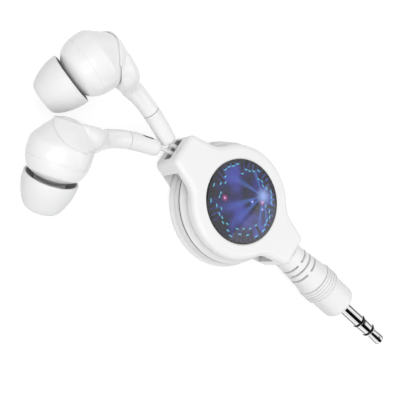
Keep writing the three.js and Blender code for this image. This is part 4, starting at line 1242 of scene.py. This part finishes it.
# %% [markdown]
# Poured epoxy is glass-clear and glossy, with the faintest ripple. As plain glass it would cast
# a solid shadow on the print, because lamps are not traced through glass; so for shadow and
# diffuse rays it stands aside as a transparent surface.

# %% Clear resin
RESIN_IOR = 1.5
RIPPLE = 5


def clear_resin():
    material, tree, place = started("Epoxy resin, poured clear")
    ripple = added(tree, "TexNoise", {"Vector": place, "Scale": per(RIPPLE), "Detail": 0.0}, "Fac")
    bump = added(tree, "Bump", {"Height": ripple, "Strength": 1.0, "Distance": 0.01 * MM})
    glass = added(tree, "BsdfPrincipled", {"Base Color": linear("#F7F8FF"), "Transmission Weight": 1.0,
                                           "Roughness": 0.03, "IOR": RESIN_IOR, "Normal": bump})
    rays = added(tree, "LightPath").node.outputs
    aside = added(tree, "Math", {0: rays["Is Shadow Ray"], 1: rays["Is Diffuse Ray"]}, operation="MAXIMUM")
    mix = added(tree, "MixShader", {0: aside, 1: glass, 2: added(tree, "BsdfTransparent")})
    added(tree, "OutputMaterial", {"Surface": mix})
    return material


finishes["badge_resin"] = clear_resin()
print("resin: IOR", RESIN_IOR, "with a ripple", RIPPLE, "mm long")

# %% [markdown]
# A woven steel cloth covers each nozzle and keeps dust out. Real cloth has wires 0.08 mm apart;
# these are 0.25 mm apart so that they can be seen. Two sets of wires cross at right angles, and
# wherever either one stands high it shows as bright steel over the dark gaps, which are painted shade.

# %% Nozzle screen cloth
WIRE_SPACING = 0.25


def steel_cloth():
    material, tree, place = started("Stainless cloth, woven")
    warp, weft = [added(tree, "TexWave", {"Vector": place, "Scale": wave_scale(WIRE_SPACING)}, "Fac",
                        bands_direction=way) for way in "XY"]
    cloth = added(tree, "Math", {0: warp, 1: weft}, operation="MAXIMUM")
    # The near-black between the wires is painted shade for the dark bore seen through the gaps.
    wire = added(tree, "Mix", {"Factor": cloth, 6: linear("#1C1C1D"), 7: linear("#C9C9CB")}, 2,
                 data_type="RGBA")
    bump = added(tree, "Bump", {"Height": cloth, "Strength": 1.0, "Distance": 0.05 * MM})
    shader = added(tree, "BsdfPrincipled", {"Base Color": wire, "Normal": bump, "Metallic": 1.0,
                                            "Roughness": 0.3})
    added(tree, "OutputMaterial", {"Surface": shader})
    return material


nozzle_cloth = steel_cloth()
print(nozzle_cloth.name, "with wires", WIRE_SPACING, "mm apart")

# %% [markdown]
# Every new piece takes the finish of its slot, and its marked faces take that slot's second
# tone, a painted shade. The CAD nodes that still show take theirs from the record's own list.

# %% Finishes on pieces
# Each slot's painted shade, for faces where little light falls.
painted_shade_tones = {
    # Painted shade: little light gets deep into the reel's mouth and to the nozzle inside its tip.
    "gloss_white_abs": moulded("ABS, spark-eroded, with painted shade", "#A8A8AA", "#9C9C9E", 0.4, 0.05,
                               0.12, 0.002, 2.0, 0.004, IOR=1.53),
    # Painted shade: the tip's inner sleeve is a little greyer than its skirt, as less light gets in there.
    "silicone_white": moulded("Silicone, painted shade inside", "#D2D2D4", "#C8C8CA", 0.45, 0.05,
                              0.1, 0.0015, 2.0, 0.004, IOR=1.42),
    # Painted shade: the slit in the right sleeve is too narrow for light to reach its floor.
    "soft_white": moulded("TPE, painted shade in the slit", "#4A4A4C", "#525254", 0.5, 0.05,
                          0.12, 0.002, 2.0, 0.004, IOR=1.5),
    # Painted shadow: a thin black line round the lower edge of the lid's rim stands for the shadow in the gap
    # beneath it.
    "spool_white": moulded("Polystyrene, painted shadow at the rim", "#0C0C0D", "#111112", 0.5, 0.05,
                           0.2, 0.002, 2.0, 0.004, IOR=1.59),
}
for name, slot in new_pieces.items():
    piece = bpy.data.objects[name]
    piece.data.materials.append(finishes[slot])
    if any(face.material_index for face in piece.data.polygons):
        piece.data.materials.append(painted_shade_tones[slot])
for entry in frame["record"]["subparts"]:
    node = frame["nodes"][entry["node"]]
    material = nozzle_cloth if entry["node"].endswith("nozzle_mesh") else finishes[entry["material_slot"]]
    for holder in node.material_slots:
        holder.link = "OBJECT"
        holder.material = material
print(len(new_pieces), "new pieces and", len(frame["nodes"]), "CAD nodes finished")

# %% [markdown]
# The table is plain and pale. It shows pure white to the camera and to reflections, less the
# shadow that falls on it. To the light that bounces it is a grey that gives back about half, so
# that undersides shade off. One thin dark tape lies beside the jack where only reflections see
# it: bright metal has no look of its own, and dark lines beside it make it read as metal.

# %% Table
TAPE_MIDDLE = (0.06, -0.0135)
TAPE_HALF = (0.04, 0.0045)
TABLE_GLOW = 0.72
TABLE_GREY = (0.4, 0.4, 0.4, 1)
WHITE = (1, 1, 1, 1)


def table():
    nothing_selected()
    bpy.ops.mesh.primitive_plane_add(size=4, location=(0, 0, -0.0002))
    top = named("table")
    bpy.ops.object.transform_apply(location=True)
    material, tree, place = started("Table, painted matt white")
    paint = added(tree, "BsdfPrincipled", {"Base Color": linear("#BCBCBC"), "Roughness": 0.9})
    rays = added(tree, "LightPath").node.outputs
    seen = added(tree, "Math", {0: rays["Is Camera Ray"], 1: rays["Is Glossy Ray"]}, operation="MAXIMUM")
    seen = added(tree, "Math", {0: seen, 1: rays["Is Transmission Ray"]}, operation="MAXIMUM")
    lit = added(tree, "BsdfDiffuse", {"Color": TABLE_GREY})
    glow = added(tree, "Emission", {"Color": WHITE, "Strength": TABLE_GLOW})
    white = added(tree, "AddShader", {0: lit, 1: glow})
    at = added(tree, "SeparateXYZ", {0: place}).node.outputs
    tape = rays["Is Glossy Ray"]
    for way, middle, half in zip(at, TAPE_MIDDLE, TAPE_HALF):
        within_tape = added(tree, "Math", {0: way, 1: middle, 2: half}, operation="COMPARE")
        tape = added(tree, "Math", {0: tape, 1: within_tape}, operation="MULTIPLY")
    dark = added(tree, "Emission", {"Color": (0.01, 0.01, 0.01, 1)})
    white = added(tree, "MixShader", {0: tape, 1: white, 2: dark})
    shown = added(tree, "MixShader", {0: seen, 1: paint, 2: white})
    added(tree, "OutputMaterial", {"Surface": shown})
    top.data.materials.append(material)
    return top


print("stage:", table().name)

# %% [markdown]
# The light is a white tent with one large soft lamp at the mouth side. The tent is the world: a
# white that is brightest overhead and dims towards the table, so that round pieces shade off.
# For reflections alone it carries three dark cards. A wide one behind the camera and a narrow
# one across the table stripe the bright metal; each is a span of the full turn round the reel's
# long axis. One overhead keeps white glare off the badge.

# %% Dark cards
# The start, the end and the soft edge of each card, as shares of a full turn.
DARK_CARDS = ((0.352, 0.504, 0.006), (0.630, 0.694, 0.005))


def dark_stripes(tree, lean):
    share = added(tree, "MapRange", {"Value": lean, "From Min": -math.pi, "From Max": math.pi})
    stops = [(0, 1)]
    for start, end, edge in DARK_CARDS:
        stops += [(start, 1), (start + edge, 0), (end - edge, 0), (end, 1)]
    stripes = added(tree, "ValToRGB", {"Fac": share}, "Color")
    ramp = stripes.node.color_ramp.elements
    while len(ramp) < len(stops):
        ramp.new(0.5)
    for element, (at, value) in zip(ramp, stops):
        element.position = at
        element.color = (value, value, value, 1)
    return stripes


print("dark cards from", *[start for start, end, edge in DARK_CARDS], "of a turn")

# %% Light tent
OVERHEAD_LEAN = 0.41
OVERHEAD_HALF = 0.5
OVERHEAD_GREY = (0.06, 0.06, 0.06, 1)
TENT_LOW = 0.3
TENT_HIGH = 1.16


def tent(low, high):
    world = bpy.data.worlds.new("tent")
    world.use_nodes = True
    tree = world.node_tree
    tree.nodes.clear()
    rays = added(tree, "LightPath").node.outputs
    way = added(tree, "SeparateXYZ", {0: added(tree, "TexCoord", out="Generated")}).node.outputs
    lean = added(tree, "Math", {0: way["Y"], 1: way["Z"]}, operation="ARCTAN2")
    overhead = added(tree, "Math", {0: lean, 1: OVERHEAD_LEAN, 2: OVERHEAD_HALF}, operation="COMPARE")
    short = added(tree, "Math", {0: way["X"], 1: 0.5}, operation="LESS_THAN")
    overhead = added(tree, "Math", {0: overhead, 1: short}, operation="MULTIPLY")
    cards = added(tree, "Mix", {"Factor": overhead, 6: dark_stripes(tree, lean), 7: OVERHEAD_GREY}, 2,
                  data_type="RGBA")
    height = added(tree, "MapRange", {"Value": way["Z"], "To Min": low, "To Max": high})
    seen = added(tree, "Background", {"Color": WHITE, "Strength": 1.0})
    fill = added(tree, "Background", {"Color": WHITE, "Strength": height})
    shine = added(tree, "Background", {"Color": cards, "Strength": 1.0})
    mixed = added(tree, "MixShader", {0: rays["Is Glossy Ray"], 1: fill, 2: shine})
    plain = added(tree, "Math", {0: rays["Is Camera Ray"], 1: rays["Is Transmission Ray"]},
                  operation="MAXIMUM")
    mixed = added(tree, "MixShader", {0: plain, 1: mixed, 2: seen})
    added(tree, "OutputWorld", {"Surface": mixed})
    bpy.context.scene.world = world


tent(TENT_LOW, TENT_HIGH)
print("tent from", TENT_LOW, "at the table to", TENT_HIGH, "overhead")

# %% Soft lamp
KEY_PLACE = (-125, -250, 290)
KEY_SIZE = 350
KEY_WATTS = 0.55

key = put_in_scene("soft_key", bpy.data.lights.new("soft_key", "AREA"))
key.data.shape = "SQUARE"
key.data.size = KEY_SIZE * MM
key.data.energy = KEY_WATTS
key.location = Vector(KEY_PLACE) * MM
key.rotation_euler = (-Vector(KEY_PLACE)).to_track_quat("-Z", "Y").to_euler()
print("lamps:", key.name, key.data.energy, "W")

# %% Colour view, and the end
bpy.context.scene.view_settings.view_transform = "Standard"
